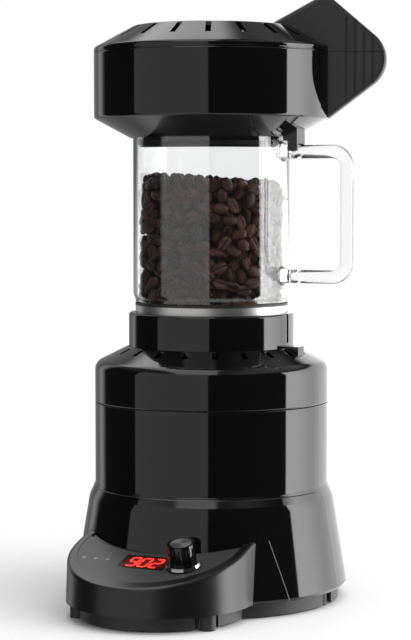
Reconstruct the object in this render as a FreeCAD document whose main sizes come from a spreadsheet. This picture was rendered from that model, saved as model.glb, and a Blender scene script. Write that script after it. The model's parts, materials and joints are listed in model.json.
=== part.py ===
import FreeCAD, Part
import math
import os
import re
import Sketcher

# Coffee bean roaster that blows hot air up through a glass chamber.
# The origin is on the axis of the round body, at the level it stands on.
# +Z is up, the control panel faces -Y and the glass handle points to +X.
# All sizes are in millimetres and degrees.
SIZES = {
    # Lower housing: a conical skirt with a rounded lip.
    "skirt_low": 10.0,
    "skirt_edge": 1.7,
    "skirt_radius": 88.0,
    "skirt_top_radius": 79.0,
    "deck_height": 74.0,
    "lip_height": 8.0,
    "deck_hole_radius": 64.0,
    "lip_radius": 75.4,
    "lip_round": 16.0,
    "plastic_wall": 2.5,
    # Console: a lobe that grows out of the skirt, with a sloping top.
    "console_half_width": 59.0,
    "console_front": 133.0,
    "console_root": 50.0,
    "console_draft": 2.0,
    "console_seam": 0.2,
    "panel_slope": 16.0,
    "panel_height": 46.8,
    "panel_back": 63.7,
    "rim_width": 7.0,
    "rim_round": 2.4,
    "recess_depth": 1.2,
    "overlay_thick": 1.0,
    "overlay_play": 0.15,
    "board_depth": 10.5,
    "board_thick": 1.6,
    "board_width": 84.0,
    "board_length": 22.0,
    # Things on the panel.
    "panel_line": 97.5,
    "display_across": 1.0,
    "window_width": 31.0,
    "window_length": 17.0,
    "window_thick": 0.9,
    "window_frame": 2.0,
    "light_radius": 1.4,
    "light_across": -25.0,
    "light_pitch": 8.0,
    "light_count": 3.0,
    "knob_across": 27.0,
    "knob_radius": 8.3,
    "knob_height": 14.0,
    "knob_lift": 0.8,
    "knob_skirt_radius": 11.2,
    "knob_skirt_thick": 1.8,
    "knob_disc_radius": 6.6,
    "knob_disc_thick": 0.6,
    "knob_flutes": 24.0,
    "flute_radius": 0.55,
    "stem_radius": 3.0,
    "stem_play": 0.05,
    "bush_radius": 4.4,
    "bush_play": 0.3,
    "encoder_width": 12.0,
    "plunger_radius": 2.6,
    "plunger_height": 1.2,
    "select_travel": 0.5,
    # Round body above the skirt.
    "body_radius": 75.2,
    "shell_height": 52.8,
    "seam_gap": 0.6,
    "tongue_height": 3.7,
    "tongue_thick": 1.2,
    "tongue_play": 0.1,
    "top_wall_height": 24.9,
    "shoulder_rise": 0.4885,
    "shoulder_round": 7.0,
    "vent_count": 20.0,
    "vent_width": 3.5,
    "vent_start": 55.0,
    "vent_end": 62.0,
    # Neck that holds the chamber.
    "neck_radius": 53.3,
    "neck_length": 34.0,
    "neck_round": 1.6,
    "neck_bore": 49.3,
    "neck_depth": 20.0,
    "neck_throat": 45.5,
    "neck_foot_drop": 1.7,
    "neck_foot_radius": 54.8,
    "lug_width": 9.0,
    "lug_end": 62.5,
    "lug_drop": 0.6,
    "slit_width": 2.6,
    "slit_rise": 1.5,
    "seat_gasket_thick": 1.0,
    "seat_play": 0.1,
    "neck_screw_ring": 50.0,
    # Bottom cover, its legs and its feet.
    "cover_play": 0.4,
    "cover_low": 11.0,
    "cover_thick": 2.5,
    "leg_inset": 5.5,
    "leg_wall": 3.0,
    "leg_low": 1.0,
    "leg_gap": 17.0,
    "foot_radius": 5.0,
    "front_foot_across": 44.0,
    "front_foot_forward": 100.0,
    "side_foot_radius": 76.5,
    "side_foot_angle": -2.3,
    "rear_foot_angle": 55.0,
    "grille_start": 33.0,
    "grille_end": 50.0,
    "grille_width": 3.0,
    "grille_count": 24.0,
    "post_ring": 69.0,
    "post_radius": 4.5,
    "post_angle": 45.0,
    "post_count": 4.0,
    # Screws.
    "screw_radius": 1.5,
    "screw_head_radius": 3.0,
    "screw_head": 2.2,
    "screw_length": 12.0,
    "screw_play": 0.15,
    # Motor and blower.
    "motor_radius": 19.0,
    "motor_wall": 2.0,
    "motor_low": 19.0,
    "motor_height": 34.0,
    "shaft_radius": 2.0,
    "shaft_play": 0.03,
    "shaft_low": 16.0,
    "bearing_radius": 4.5,
    "magnet_thick": 2.5,
    "magnet_low": 26.0,
    "magnet_height": 20.0,
    "armature_gap": 0.8,
    "armature_slots": 8.0,
    "armature_slot_width": 2.0,
    "armature_slot_depth": 6.0,
    "commutator_radius": 5.0,
    "commutator_height": 3.0,
    "bracket_play": 0.1,
    "bracket_wall": 2.0,
    "bracket_top": 36.0,
    "bracket_flange": 31.0,
    "bracket_flange_thick": 2.5,
    "bracket_screw_ring": 26.0,
    "frame_screw_count": 3.0,
    "frame_screw_angle": 30.0,
    "stand_ring": 56.0,
    "stand_radius": 4.0,
    "inlet_height": 56.0,
    "inlet_thick": 2.0,
    "inlet_hole": 20.0,
    "blower_radius": 62.0,
    "blower_wall": 2.0,
    "blower_top": 88.0,
    "outlet_radius": 34.0,
    "outlet_rise": 8.0,
    "impeller_radius": 50.0,
    "impeller_low": 62.0,
    "impeller_height": 17.6,
    "impeller_plate": 1.6,
    "blade_start": 22.0,
    "blade_thick": 1.5,
    "blade_count": 10.0,
    "blade_angle": 28.0,
    "hub_radius": 6.0,
    # Heater.
    "heater_radius": 36.0,
    "heater_wall": 0.8,
    "heater_flange": 53.0,
    "mica_thick": 1.0,
    "mica_play": 0.2,
    "mica_height": 46.0,
    "coil_ring": 20.0,
    "coil_radius": 6.0,
    "coil_wall": 1.4,
    "coil_count": 4.0,
    "probe_radius": 1.2,
    "probe_drop": 4.0,
    "probe_length": 30.0,
    "thermostat_width": 14.0,
    "thermostat_depth": 8.8,
    "thermostat_height": 12.0,
    "thermostat_low": 118.0,
    "fuse_radius": 2.2,
    "fuse_length": 14.0,
    # Power board behind the heater.
    "power_across": 54.0,
    "power_height": 44.0,
    "power_back": 52.0,
    "rail_width": 5.0,
    "rail_depth": 6.0,
    "rail_groove": 1.4,
    "rail_play": 0.1,
    "transformer_width": 22.0,
    "transformer_depth": 14.0,
    "transformer_height": 20.0,
    "sink_width": 30.0,
    "sink_depth": 8.0,
    "sink_height": 26.0,
    "sink_fins": 6.0,
    "sink_fin_thick": 1.6,
    "sink_base": 2.0,
    # Mains cord entry.
    "gland_height": 30.0,
    "gland_radius": 5.5,
    "gland_flange_radius": 9.0,
    "gland_flange_thick": 2.0,
    "gland_boot": 9.0,
    "gland_tip_radius": 4.2,
    "gland_bore": 3.2,
    "gland_inside": 8.0,
    # Glass chamber and its base ring.
    "glass_radius": 50.4,
    "glass_wall": 2.4,
    "glass_length": 106.6,
    "glass_tuck": 1.5,
    "glass_tuck_height": 5.0,
    "glass_lip_round": 1.0,
    "ring_radius": 48.9,
    "ring_wall": 2.5,
    "ring_show": 4.8,
    "ring_gasket_thick": 1.6,
    "ring_lip": 2.2,
    "ring_lip_thick": 1.2,
    "air_plate_thick": 1.2,
    "air_plate_play": 0.1,
    "air_hole_radius": 1.3,
    "air_rings": 3.0,
    "air_ring_pitch": 12.0,
    "air_holes_each": 8.0,
    "pin_radius": 1.1,
    "pin_rise": 6.0,
    "pin_length": 3.6,
    "rivet_radius": 1.3,
    "rivet_depth": 0.5,
    "rivet_angle": -41.0,
    "part_gap": 0.3,
    # Glass handle.
    "rod_radius": 4.3,
    "rod_reach": 93.3,
    "rod_low_rise": 17.1,
    "rod_high_drop": 10.2,
    "rod_bend": 9.5,
    "weld_radius": 6.2,
    "weld_length": 5.0,
    "weld_play": 0.05,
    # Chaff collector bowl.
    "bowl_radius": 75.4,
    "bowl_wall": 2.2,
    "bowl_height": 52.55,
    "bowl_collar": 1.6,
    "bowl_collar_lap": 1.2,
    "bowl_cone_rise": 12.5,
    "bowl_floor": 2.5,
    "bowl_round": 2.4,
    "spigot_play": 1.0,
    "spigot_wall": 1.6,
    "spigot_depth": 8.0,
    "bowl_gasket_thick": 0.7,
    "bowl_gasket_height": 2.6,
    "bowl_gasket_rise": 1.5,
    "sheet_thick": 0.8,
    "chimney_flange": 50.0,
    "chimney_radius": 26.0,
    "chimney_cone_height": 20.2,
    "chimney_tube_height": 16.0,
    "cap_radius": 34.0,
    "cap_height": 4.0,
    "cap_gap": 4.0,
    "cap_leg_width": 4.0,
    "cap_leg_lap": 4.0,
    "cap_leg_rise": 1.6,
    "clip_reach": 62.0,
    "clip_width": 13.0,
    "clip_rise": 0.2,
    "clip_play": 0.4,
    # Chaff collector lid.
    "lid_edge_rise": 3.35,
    "lid_flat_radius": 50.4,
    "lid_rise": 13.7,
    "lid_wall": 2.4,
    "lid_round": 2.4,
    "lid_tongue": 3.0,
    "lid_tongue_thick": 1.7,
    "lid_slot_count": 18.0,
    "lid_slot_width": 3.5,
    "lid_slot_inner": 1.1,
    "lid_slot_outer": 10.9,
    "lid_slot_angle": -67.0,
    "screen_play": 0.1,
    "screen_hole_radius": 1.6,
    "screen_rings": 5.0,
    "screen_ring_pitch": 12.0,
    "screen_holes_each": 6.0,
    "screen_frame": 3.0,
    "screen_frame_height": 2.2,
    # Handle plate of the collector, half on the lid and half on the bowl.
    "plate_angle": 17.0,
    "plate_thick": 14.0,
    "plate_edge": 2.6,
    "plate_root_inset": 14.4,
    "plate_root_sink": 0.3,
    "plate_peak_inset": 1.6,
    "plate_peak_rise": 20.1,
    "plate_peak_round": 10.8,
    "plate_tip_reach": 48.0,
    "plate_tip_drop": 5.45,
    "plate_tip_round": 19.5,
    "plate_foot_inset": 3.4,
    "plate_foot_rise": 9.5,
    "plate_play": 0.1,
    "grip_inset": 10.6,
    "grip_pitch": 5.6,
    "grip_count": 4.0,
    "grip_width": 1.8,
    "grip_depth": 0.9,
    "grip_foot_rise": 16.7,
    "grip_height": 49.0,
    "lid_screw_inset": 8.9,
    "lid_screw_pitch": 9.5,
    "lid_boss_radius": 4.0,
    "lid_boss_rise": 0.5,
    "bowl_screw_rise": 26.2,
    "bowl_screw_pitch": 16.0,
    "handle_screw_count": 2.0,
}

# Levels and reaches that follow from the sizes, each stacked on its neighbour.
PLACES = {
    "skirt_top": "deck_height - lip_height",
    "seam_height": "deck_height + shell_height",
    "shoulder_height": "seam_height + top_wall_height",
    "neck_foot": "shoulder_height - neck_foot_drop",
    "neck_top": "neck_foot + neck_length",
    "neck_ledge": "neck_top - neck_depth",
    "lug_top": "neck_ledge - lug_drop",
    "probe_height": "neck_foot - probe_drop",
    "ring_top": "neck_top + ring_show",
    "pin_height": "neck_ledge + pin_rise",
    "glass_low": "ring_top + ring_gasket_thick",
    "glass_top": "glass_low + glass_length",
    "rod_low": "glass_low + rod_low_rise",
    "rod_high": "glass_top - rod_high_drop",
    "bowl_collar_low": "glass_top - bowl_collar_lap",
    "spigot_low": "glass_top - spigot_depth",
    "bowl_gasket_low": "spigot_low + bowl_gasket_rise",
    "bowl_seam": "glass_top + bowl_height",
    "chimney_cone_top": "glass_top + part_gap + bowl_floor + chimney_cone_height",
    "chimney_top": "chimney_cone_top + chimney_tube_height",
    "cap_low": "chimney_top + cap_gap",
    "clip_low": "rod_high + clip_rise",
    "lid_edge": "bowl_seam + lid_edge_rise",
    "lid_top": "lid_edge + lid_rise",
    "lid_boss_low": "lid_edge + lid_boss_rise",
    "lid_slot_start": "lid_flat_radius + lid_slot_inner",
    "lid_slot_end": "bowl_radius - lid_slot_outer",
    "plate_root": "lid_flat_radius - plate_root_inset",
    "plate_root_height": "lid_top - plate_root_sink",
    "plate_peak": "bowl_radius - plate_peak_inset",
    "plate_peak_height": "lid_top + plate_peak_rise",
    "plate_tip": "bowl_radius + plate_tip_reach",
    "plate_tip_height": "bowl_seam - plate_tip_drop",
    "plate_foot": "bowl_radius - plate_foot_inset",
    "plate_foot_height": "bowl_collar_low + plate_foot_rise",
    "grip_first": "bowl_radius + grip_inset",
    "grip_low": "plate_foot_height + grip_foot_rise",
    "bowl_screw_low": "bowl_collar_low + bowl_screw_rise",
}

doc = FreeCAD.newDocument("roaster")
sheet = doc.addObject("Spreadsheet::Sheet", "sizes")
for row, (alias, size) in enumerate(SIZES.items(), start=1):
    sheet.set(f"A{row}", alias)
    sheet.set(f"B{row}", str(size))
    sheet.setAlias(f"B{row}", alias)
doc.recompute()

NODES = []


def bound(text):
    """Write a formula's names as references to the sheet."""
    return re.sub(r"[a-z_]+", lambda word: reference(word[0]), text)


def reference(name):
    """What a name stands for: a size in the sheet, a place worked out from sizes, or itself."""
    if name in PLACES:
        return f"({bound(PLACES[name])})"
    return "sizes." + name if name in SIZES else name


def value(text):
    """Work out a formula from the sheet."""
    return float(sheet.evalExpression(bound(text)))


def count(text):
    """Work out a formula and round it to a whole number."""
    return int(round(value(text)))


def add(kind, name, **sizes):
    """Add an object whose sizes follow formulas."""
    thing = doc.addObject(kind, name)
    for size, text in sizes.items():
        thing.setExpression(size, bound(text))
    return thing


def move(thing, x="0", y="0", z="0", yaw="0", roll="0"):
    """Place an object; yaw turns it about Z after roll turns it about X."""
    spots = {"Base.x": x, "Base.y": y, "Base.z": z, "Rotation.Yaw": within_half_turn(yaw), "Rotation.Roll": roll}
    for spot, text in spots.items():
        if text != "0":
            thing.setExpression("Placement." + spot, bound(text))
    return thing


def within_half_turn(angle):
    """The same angle, no more than half a turn either way."""
    return angle if angle == "0" else f"({angle}) - 360 * round(({angle}) / 360)"


def cylinder(name, radius, height, low="0", x="0", y="0"):
    """An upright cylinder."""
    return move(add("Part::Cylinder", name, Radius=radius, Height=height), x, y, low)


def tube(name, outer, inner, height, low="0", x="0", y="0"):
    """An upright tube."""
    skin = cylinder(name + "_skin", outer, height, low, x, y)
    bore = cylinder(name + "_bore", inner, height, low, x, y)
    return cut(name, skin, bore)


def box(name, length, width, height, x="0", y="0", z="0"):
    """A box whose corner is at x, y, z."""
    return move(add("Part::Box", name, Length=length, Width=width, Height=height), x, y, z)


def spoke(name, angle, start, end, width, low, height):
    """A box that lies along a ray from the axis."""
    ray = add("Part::Box", name, Length=f"({end}) - ({start})", Width=width, Height=height)
    x = f"({start}) * cos({angle}) + ({width}) / 2 * sin({angle})"
    y = f"({start}) * sin({angle}) - ({width}) / 2 * cos({angle})"
    return move(ray, x, y, low, yaw=angle)


def fuse(name, things):
    """Join solids into one."""
    joined = doc.addObject("Part::MultiFuse", name)
    joined.Shapes = things
    joined.Refine = True
    return joined


def group(name, things):
    """Keep separate solids together."""
    compound = doc.addObject("Part::Compound", name)
    compound.Links = things
    return compound


def cut(name, base, tool):
    """Take one solid away from another."""
    result = doc.addObject("Part::Cut", name)
    result.Base = base
    result.Tool = tool if not isinstance(tool, list) else group(name + "_tools", tool)
    return result


def node(thing, name):
    """Mark an object as one named piece of the roaster."""
    thing.Label = name
    NODES.append(thing)
    return thing


def around(counter, first="0"):
    """Formulas for the angles of evenly spaced copies."""
    return [f"{first} + {index} * 360 / {counter}" for index in range(count(counter))]


def polar(radius, angle):
    """Formulas for a place at a radius and an angle from +X."""
    return {"x": f"({radius}) * cos({angle})", "y": f"({radius}) * sin({angle})"}


def outline(body, role, corners):
    """Draw a closed outline whose corners follow formulas."""
    plane = next(item for item in body.Origin.OriginFeatures if item.Role == role)
    sketch = body.newObject("Sketcher::SketchObject", body.Name + "_outline")
    sketch.AttachmentSupport = [(plane, "")]
    sketch.MapMode = "FlatFace"
    spots = [FreeCAD.Vector(value(across), value(up), 0) for across, up in corners]
    for index, spot in enumerate(spots):
        sketch.addGeometry(Part.LineSegment(spot, spots[(index + 1) % len(spots)]), False)
    for index in range(len(spots)):
        following = (index + 1) % len(spots)
        sketch.addConstraint(Sketcher.Constraint("Coincident", index, 2, following, 1))
    for index, (across, up) in enumerate(corners):
        tie(sketch, index, "DistanceX", across)
        tie(sketch, index, "DistanceY", up)
    return sketch


def tie(sketch, corner, direction, text, point=1):
    """Bind one coordinate of an outline's corner to a formula."""
    if text == "0":
        axis = -2 if direction == "DistanceX" else -1
        sketch.addConstraint(Sketcher.Constraint("PointOnObject", corner, point, axis))
        return
    distance = Sketcher.Constraint(direction, -1, 1, corner, point, value(text))
    index = sketch.addConstraint(distance)
    sketch.setExpression(f"Constraints[{index}]", bound(text))


def turned(name, corners, rounds=()):
    """Turn an outline of radius and height about the axis, and round some of its corners."""
    body = doc.addObject("PartDesign::Body", name)
    sketch = outline(body, "XZ_Plane", corners)
    turn = body.newObject("PartDesign::Revolution", name + "_turn")
    turn.Profile = sketch
    turn.ReferenceAxis = (sketch, ["V_Axis"])
    turn.Angle = 360
    doc.recompute()
    for corner, radius in rounds:
        round_circle(body, corners[corner], radius)
    return body


def round_circle(body, corner, radius):
    """Round the circular edge that a corner of the outline leaves."""
    reach, height = value(corner[0]), value(corner[1])
    names = []
    for index, edge in enumerate(body.Tip.Shape.Edges, start=1):
        is_circle = edge.Curve.TypeId == "Part::GeomCircle"
        if is_circle and abs(edge.Curve.Radius - reach) < 1e-4 and abs(edge.Curve.Center.z - height) < 1e-4:
            names.append(f"Edge{index}")
    add_round(body, names, radius)


def add_round(body, names, radius):
    """Add a fillet over named edges of a body's last feature."""
    base = body.Tip
    fillet = body.newObject("PartDesign::Fillet", body.Name + "_round")
    fillet.Base = (base, names)
    fillet.setExpression("Radius", bound(radius))
    doc.recompute()


def on_panel(thing, across, forward, lift, left="0", down="0"):
    """Place an object on the sloping panel, lifted from its rim along its normal."""
    x = f"{across} - ({left})"
    y = f"0 - ({forward}) - ({lift}) * sin(panel_slope) - ({down}) * cos(panel_slope)"
    rim = f"panel_height - (({forward}) - panel_back) * tan(panel_slope)"
    z = f"{rim} + ({lift}) * cos(panel_slope) - ({down}) * sin(panel_slope)"
    return move(thing, x, y, z, roll="panel_slope")


def panel_box(name, width, length, height, across, forward, lift):
    """A box on the panel, centred across it and along its slope."""
    slab = add("Part::Box", name, Length=width, Width=length, Height=height)
    return on_panel(slab, across, forward, lift, f"({width}) / 2", f"({length}) / 2")


def panel_cylinder(name, radius, height, across, forward, lift):
    """A cylinder that stands on the panel."""
    rod = add("Part::Cylinder", name, Radius=radius, Height=height)
    return on_panel(rod, across, forward, lift)


def screw(name, x, y, seat, flip=1):
    """A screw whose head lies on a seat; its shank points up, or down if flip is -1."""
    head_low = "0 - screw_head" if flip > 0 else "0"
    shank_low = "0" if flip > 0 else "0 - screw_length"
    head = cylinder(name + "_head", "screw_head_radius", "screw_head", f"{seat} + {head_low}", x, y)
    shank = cylinder(name + "_shank", "screw_radius", "screw_length", f"{seat} + {shank_low}", x, y)
    return fuse(name, [head, shank])


def screw_hole(name, x, y, seat, flip=1):
    """The clear hole of such a screw."""
    low = seat if flip > 0 else f"{seat} - screw_length"
    return cylinder(name, "screw_radius + screw_play", "screw_length + screw_play", low, x, y)


def console_plan(name, inset, low, height):
    """An upright solid with the console's plan, set in from its outer wall."""
    wide = f"console_half_width - ({inset})"
    front = "0 - (console_front - console_half_width)"
    nose = cylinder(name + "_nose", wide, height, low, y=front)
    back = box(name + "_back", f"2 * ({wide})", "console_front - console_half_width - console_root",
               height, f"0 - ({wide})", front, low)
    return fuse(name, [nose, back])


def above_panel(name, base, lift):
    """Cut a solid off along the panel's slope."""
    size = "4 * console_front"
    waste = panel_box(name + "_waste", size, size, size, "0", "panel_back", lift)
    return cut(name, base, waste)


SKIRT_SLOPE = "(skirt_radius - skirt_top_radius) / (skirt_top - skirt_low - skirt_edge)"
PANEL_UNDER = "0 - recess_depth - plastic_wall"
BOARD_TOP = "0 - board_depth"
COVER_TOP = "cover_low + cover_thick"


def make_console():
    """The console's outer solid, with its rounded rim and the recess for the overlay."""
    body = doc.addObject("PartDesign::Body", "console")
    sketch = body.newObject("Sketcher::SketchObject", "console_outline")
    plane = next(item for item in body.Origin.OriginFeatures if item.Role == "XY_Plane")
    sketch.AttachmentSupport = [(plane, "")]
    sketch.MapMode = "FlatFace"
    draw_console(sketch)
    pad = body.newObject("PartDesign::Pad", "console_pad")
    pad.Profile = sketch
    pad.setExpression("Length", bound("panel_height + rim_width"))
    pad.setExpression("TaperAngle", bound("0 - console_draft"))
    doc.recompute()
    sketch = outline(body, "YZ_Plane", slope_corners())
    slope = body.newObject("PartDesign::Pocket", "console_slope")
    slope.Profile = sketch
    slope.SideType = "Symmetric"
    slope.Type = "ThroughAll"
    doc.recompute()
    add_round(body, rim_edges(body.Tip.Shape), "rim_round")
    low = cut("console_low", body, console_plan("console_below", "0 - rim_width", "0", "skirt_low"))
    disc_radius = "console_half_width - rim_width"
    recess = panel_cylinder("console_recess", disc_radius, "rim_width", "0",
                            "console_front - console_half_width", "0 - recess_depth")
    return cut("console_top", low, recess)


def draw_console(sketch):
    """The console's plan: two straight sides, a back and a half circle in front."""
    wide, front, root = value("console_half_width"), value("console_front"), value("console_root")
    middle = wide - front
    spots = [(wide, middle), (wide, -root), (-wide, -root), (-wide, middle)]
    for start, end in zip(spots, spots[1:]):
        sketch.addGeometry(Part.LineSegment(FreeCAD.Vector(*start, 0), FreeCAD.Vector(*end, 0)), False)
    circle = Part.Circle(FreeCAD.Vector(0, middle, 0), FreeCAD.Vector(0, 0, 1), wide)
    sketch.addGeometry(Part.ArcOfCircle(circle, math.pi, 2 * math.pi), False)
    for index in range(4):
        sketch.addConstraint(Sketcher.Constraint("Coincident", index, 2, (index + 1) % 4, 1))
    tie(sketch, 3, "DistanceY", "console_half_width - console_front", point=3)
    tie(sketch, 0, "DistanceX", "console_half_width")
    tie(sketch, 0, "DistanceY", "console_half_width - console_front")
    tie(sketch, 1, "DistanceX", "console_half_width")
    tie(sketch, 1, "DistanceY", "0 - console_root")
    tie(sketch, 2, "DistanceX", "0 - console_half_width")
    tie(sketch, 2, "DistanceY", "0 - console_root")
    tie(sketch, 3, "DistanceX", "0 - console_half_width")
    tie(sketch, 3, "DistanceY", "console_half_width - console_front")


def slope_corners():
    """The side view of what is cut off above the panel: forward is -Y."""
    far, near = "2 * console_front", "console_root - rim_width"
    top = "2 * panel_height"
    line = "panel_height - ({} - panel_back) * tan(panel_slope)"
    return [(f"0 - ({far})", line.format("(" + far + ")")), (f"0 - ({near})", line.format("(" + near + ")")),
            (f"0 - ({near})", top), (f"0 - ({far})", top)]


def rim_edges(shape):
    """The edges where the console's side walls meet its sloping top."""
    slope = math.radians(value("panel_slope"))
    back = value("console_root")
    names = []
    for index, edge in enumerate(shape.Edges, start=1):
        spots = [corner.Point for corner in edge.Vertexes]
        rises = [spot.z - value("panel_height") - (spot.y + value("panel_back")) * math.tan(slope)
                 for spot in spots]
        behind = all(abs(spot.y + back) < 0.5 for spot in spots)
        if max(abs(rise) for rise in rises) < 1e-3 and not behind:
            names.append(f"Edge{index}")
    return names


def make_lower_housing():
    """The skirt, the deck under the body and the screw posts in one moulding, and the console in another."""
    middle = "skirt_low + skirt_edge"
    outer = turned("skirt", [
        ("0", "skirt_low"),
        ("skirt_radius - skirt_edge / 2", "skirt_low"),
        ("skirt_radius", middle),
        ("skirt_top_radius", "skirt_top"),
        ("lip_radius", "deck_height"),
        ("0", "deck_height")], [(3, "lip_round")])
    hollow = turned("skirt_hollow", [
        ("0", "skirt_low - 1"),
        ("skirt_radius - plastic_wall", "skirt_low - 1"),
        ("skirt_radius - plastic_wall", middle),
        ("skirt_top_radius - plastic_wall", "skirt_top - plastic_wall"),
        ("lip_radius - plastic_wall", "deck_height - plastic_wall"),
        ("0", "deck_height - plastic_wall")])
    inset = "plastic_wall + rim_width * tan(console_draft)"
    room = console_plan("console_room", inset, "skirt_low - 1", "panel_height")
    room = above_panel("console_hollow", room, PANEL_UNDER)
    centre = cylinder("deck_hole", "deck_hole_radius", "2 * plastic_wall", "deck_height - 1.5 * plastic_wall")
    shell = cut("housing_shell", outer, [hollow, room, centre])
    holes = [gland_tool("gland_way", "gland_radius + bush_play")]
    holes += [screw_hole(f"post_hole_{index}", seat="cover_low", **polar("post_ring", angle))
              for index, angle in enumerate(around("post_count", "post_angle"))]
    node(cut("lower_housing", fuse("housing_posts", [shell] + make_posts()), holes), "lower_housing")
    make_console_housing(middle, room)


def make_console_housing(middle, room):
    """The hollow console, cut to the skirt's slope, with its board posts and the ways through its panel."""
    body = turned("console_skirt", [
        ("0", "0"),
        ("skirt_radius + console_seam", "0"),
        ("skirt_radius + console_seam", middle),
        ("skirt_top_radius + console_seam", "skirt_top"),
        ("0", "skirt_top")])
    shell = cut("console_shell", make_console(), [body, room])
    under = "0 - recess_depth - 1.5 * plastic_wall"
    holes = [panel_box("window_way", "window_width - window_frame", "window_length - window_frame",
                       "2 * plastic_wall", "display_across", "panel_line", under),
             panel_cylinder("stem_way", "bush_radius + bush_play", "2 * plastic_wall", "knob_across",
                            "panel_line", under)]
    node(cut("console_housing", fuse("console_posts", [shell] + make_board_posts()), holes), "console_housing")


def make_posts():
    """The posts between the bottom cover and the deck."""
    height = "deck_height - plastic_wall / 2 - (" + COVER_TOP + ")"
    return [cylinder(f"post_{index}", "post_radius", height, COVER_TOP, **polar("post_ring", angle))
            for index, angle in enumerate(around("post_count", "post_angle"))]


def make_board_posts():
    """The two posts under the panel that carry the control board."""
    reach = "board_width / 2 - (post_radius - screw_radius)"
    length = "board_depth - recess_depth - plastic_wall / 2"
    return [panel_cylinder(f"board_post_{side}", "post_radius - screw_radius", length,
                           f"{side} * ({reach})", "panel_line", BOARD_TOP) for side in (-1, 1)]


def gland_tool(name, radius):
    """A cylinder through the rear of the skirt, square to its wall."""
    tool = add("Part::Cylinder", name, Radius=radius, Height="gland_inside + gland_boot")
    return on_skirt(tool, "0 - gland_inside")


def on_skirt(thing, lift):
    """Place an object on the rear of the skirt, its +Z along the wall's outward normal."""
    tilt = f"atan({SKIRT_SLOPE})"
    reach = f"(skirt_radius - (gland_height - skirt_low - skirt_edge) * {SKIRT_SLOPE})"
    y = f"{reach} + ({lift}) * cos({tilt})"
    z = f"gland_height + ({lift}) * sin({tilt})"
    return move(thing, y=y, z=z, roll=f"{tilt} / 1 deg - 90")


def make_cord_gland():
    """The strain relief where the mains cord enters."""
    barrel = add("Part::Cylinder", "gland_barrel", Radius="gland_radius", Height="gland_inside + seam_gap")
    flange = add("Part::Cylinder", "gland_flange", Radius="gland_flange_radius", Height="gland_flange_thick")
    boot = add("Part::Cone", "gland_sleeve", Radius1="gland_radius + seam_gap", Radius2="gland_tip_radius",
               Height="gland_boot")
    solids = [on_skirt(barrel, "0 - gland_inside"), on_skirt(flange, "part_gap / 2"), on_skirt(boot, "part_gap")]
    bore = gland_tool("gland_cord_way", "gland_bore")
    bore.setExpression("Height", bound("gland_inside + gland_boot + plastic_wall"))
    node(cut("cord_gland", fuse("gland_solid", solids), bore), "cord_gland")


def shoulder(radius, drop="0"):
    """The height of the shoulder's cone at a radius, less a drop."""
    return f"shoulder_height + (body_radius - ({radius})) * shoulder_rise - ({drop})"


def make_body_shell():
    """The straight shell that stands on the deck, with a tongue that the top housing fits over."""
    inner = "body_radius - plastic_wall"
    top = "seam_height - seam_gap / 2"
    node(turned("body_shell", [
        (inner, "deck_height"),
        ("body_radius", "deck_height"),
        ("body_radius", top),
        (f"{inner} + tongue_thick", top),
        (f"{inner} + tongue_thick", "seam_height + tongue_height"),
        (inner, "seam_height + tongue_height")]), "body_shell")


def make_top_housing():
    """The upper shell: a rounded shoulder, a vented cone and the lug beside the neck."""
    inner = "body_radius - plastic_wall"
    drop = "plastic_wall * sqrt(1 + shoulder_rise * shoulder_rise)"
    eye = "neck_radius + part_gap"
    shell = turned("top_shell", [
        (f"{inner} + tongue_thick + tongue_play", "seam_height + seam_gap / 2"),
        ("body_radius", "seam_height + seam_gap / 2"),
        ("body_radius", "shoulder_height"),
        (eye, shoulder(eye)),
        (eye, shoulder(eye, drop)),
        (inner, shoulder(inner, drop)),
        (inner, "seam_height + tongue_height"),
        (f"{inner} + tongue_thick + tongue_play", "seam_height + tongue_height")], [(2, "shoulder_round")])
    vents = [spoke(f"vent_{index}", angle, "vent_start", "vent_end", "vent_width", "neck_foot",
                   "neck_ledge - neck_foot") for index, angle in enumerate(around("vent_count", "180 / vent_count"))]
    lug_low = shoulder("lug_end", drop)
    lug = spoke("lug_block", "0", eye, "lug_end", "lug_width", lug_low, f"lug_top - ({lug_low})")
    room = f"{shoulder('neck_radius', drop)} - neck_foot"
    flange = cylinder("lug_room", "neck_foot_radius + part_gap", room, "neck_foot")
    node(fuse("top_housing", [cut("top_vented", shell, vents), cut("lug", lug, flange)]), "top_housing")


def make_neck():
    """The collar that the chamber stands in, and the soft ring on its ledge."""
    drop = "plastic_wall * sqrt(1 + shoulder_rise * shoulder_rise) + seat_play"
    collar = turned("neck_shell", [
        ("neck_throat", "neck_foot"),
        ("neck_foot_radius", "neck_foot"),
        ("neck_foot_radius", shoulder("neck_foot_radius", drop)),
        ("neck_radius", shoulder("neck_radius", drop)),
        ("neck_radius", "neck_top"),
        ("neck_bore", "neck_top"),
        ("neck_bore", "neck_ledge"),
        ("neck_throat", "neck_ledge")], [(4, "neck_round")])
    slit = box("neck_slit", "neck_radius - neck_throat + plastic_wall", "slit_width", "neck_length",
               "neck_throat", "0 - slit_width / 2", "neck_ledge + slit_rise")
    holes = [screw_hole(f"neck_hole_{index}", seat="neck_foot", **polar("neck_screw_ring", angle))
             for index, angle in enumerate(frame_angles())]
    node(cut("neck_collar", collar, [slit] + holes), "neck_collar")
    node(tube("seat_gasket", "neck_bore - part_gap", "neck_throat", "seat_gasket_thick", "neck_ledge"), "seat_gasket")


def frame_angles():
    """The angles of the three screws at each level of the frame."""
    return around("frame_screw_count", "frame_screw_angle")


def foot_spots():
    """Where the feet stand: two in front, one at each side and two at the rear."""
    spots = [{"x": f"{side} * front_foot_across", "y": "0 - front_foot_forward"} for side in (-1, 1)]
    angles = ["side_foot_angle", "180 - side_foot_angle", "rear_foot_angle", "180 - rear_foot_angle"]
    return spots + [polar("side_foot_radius", angle) for angle in angles]


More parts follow.
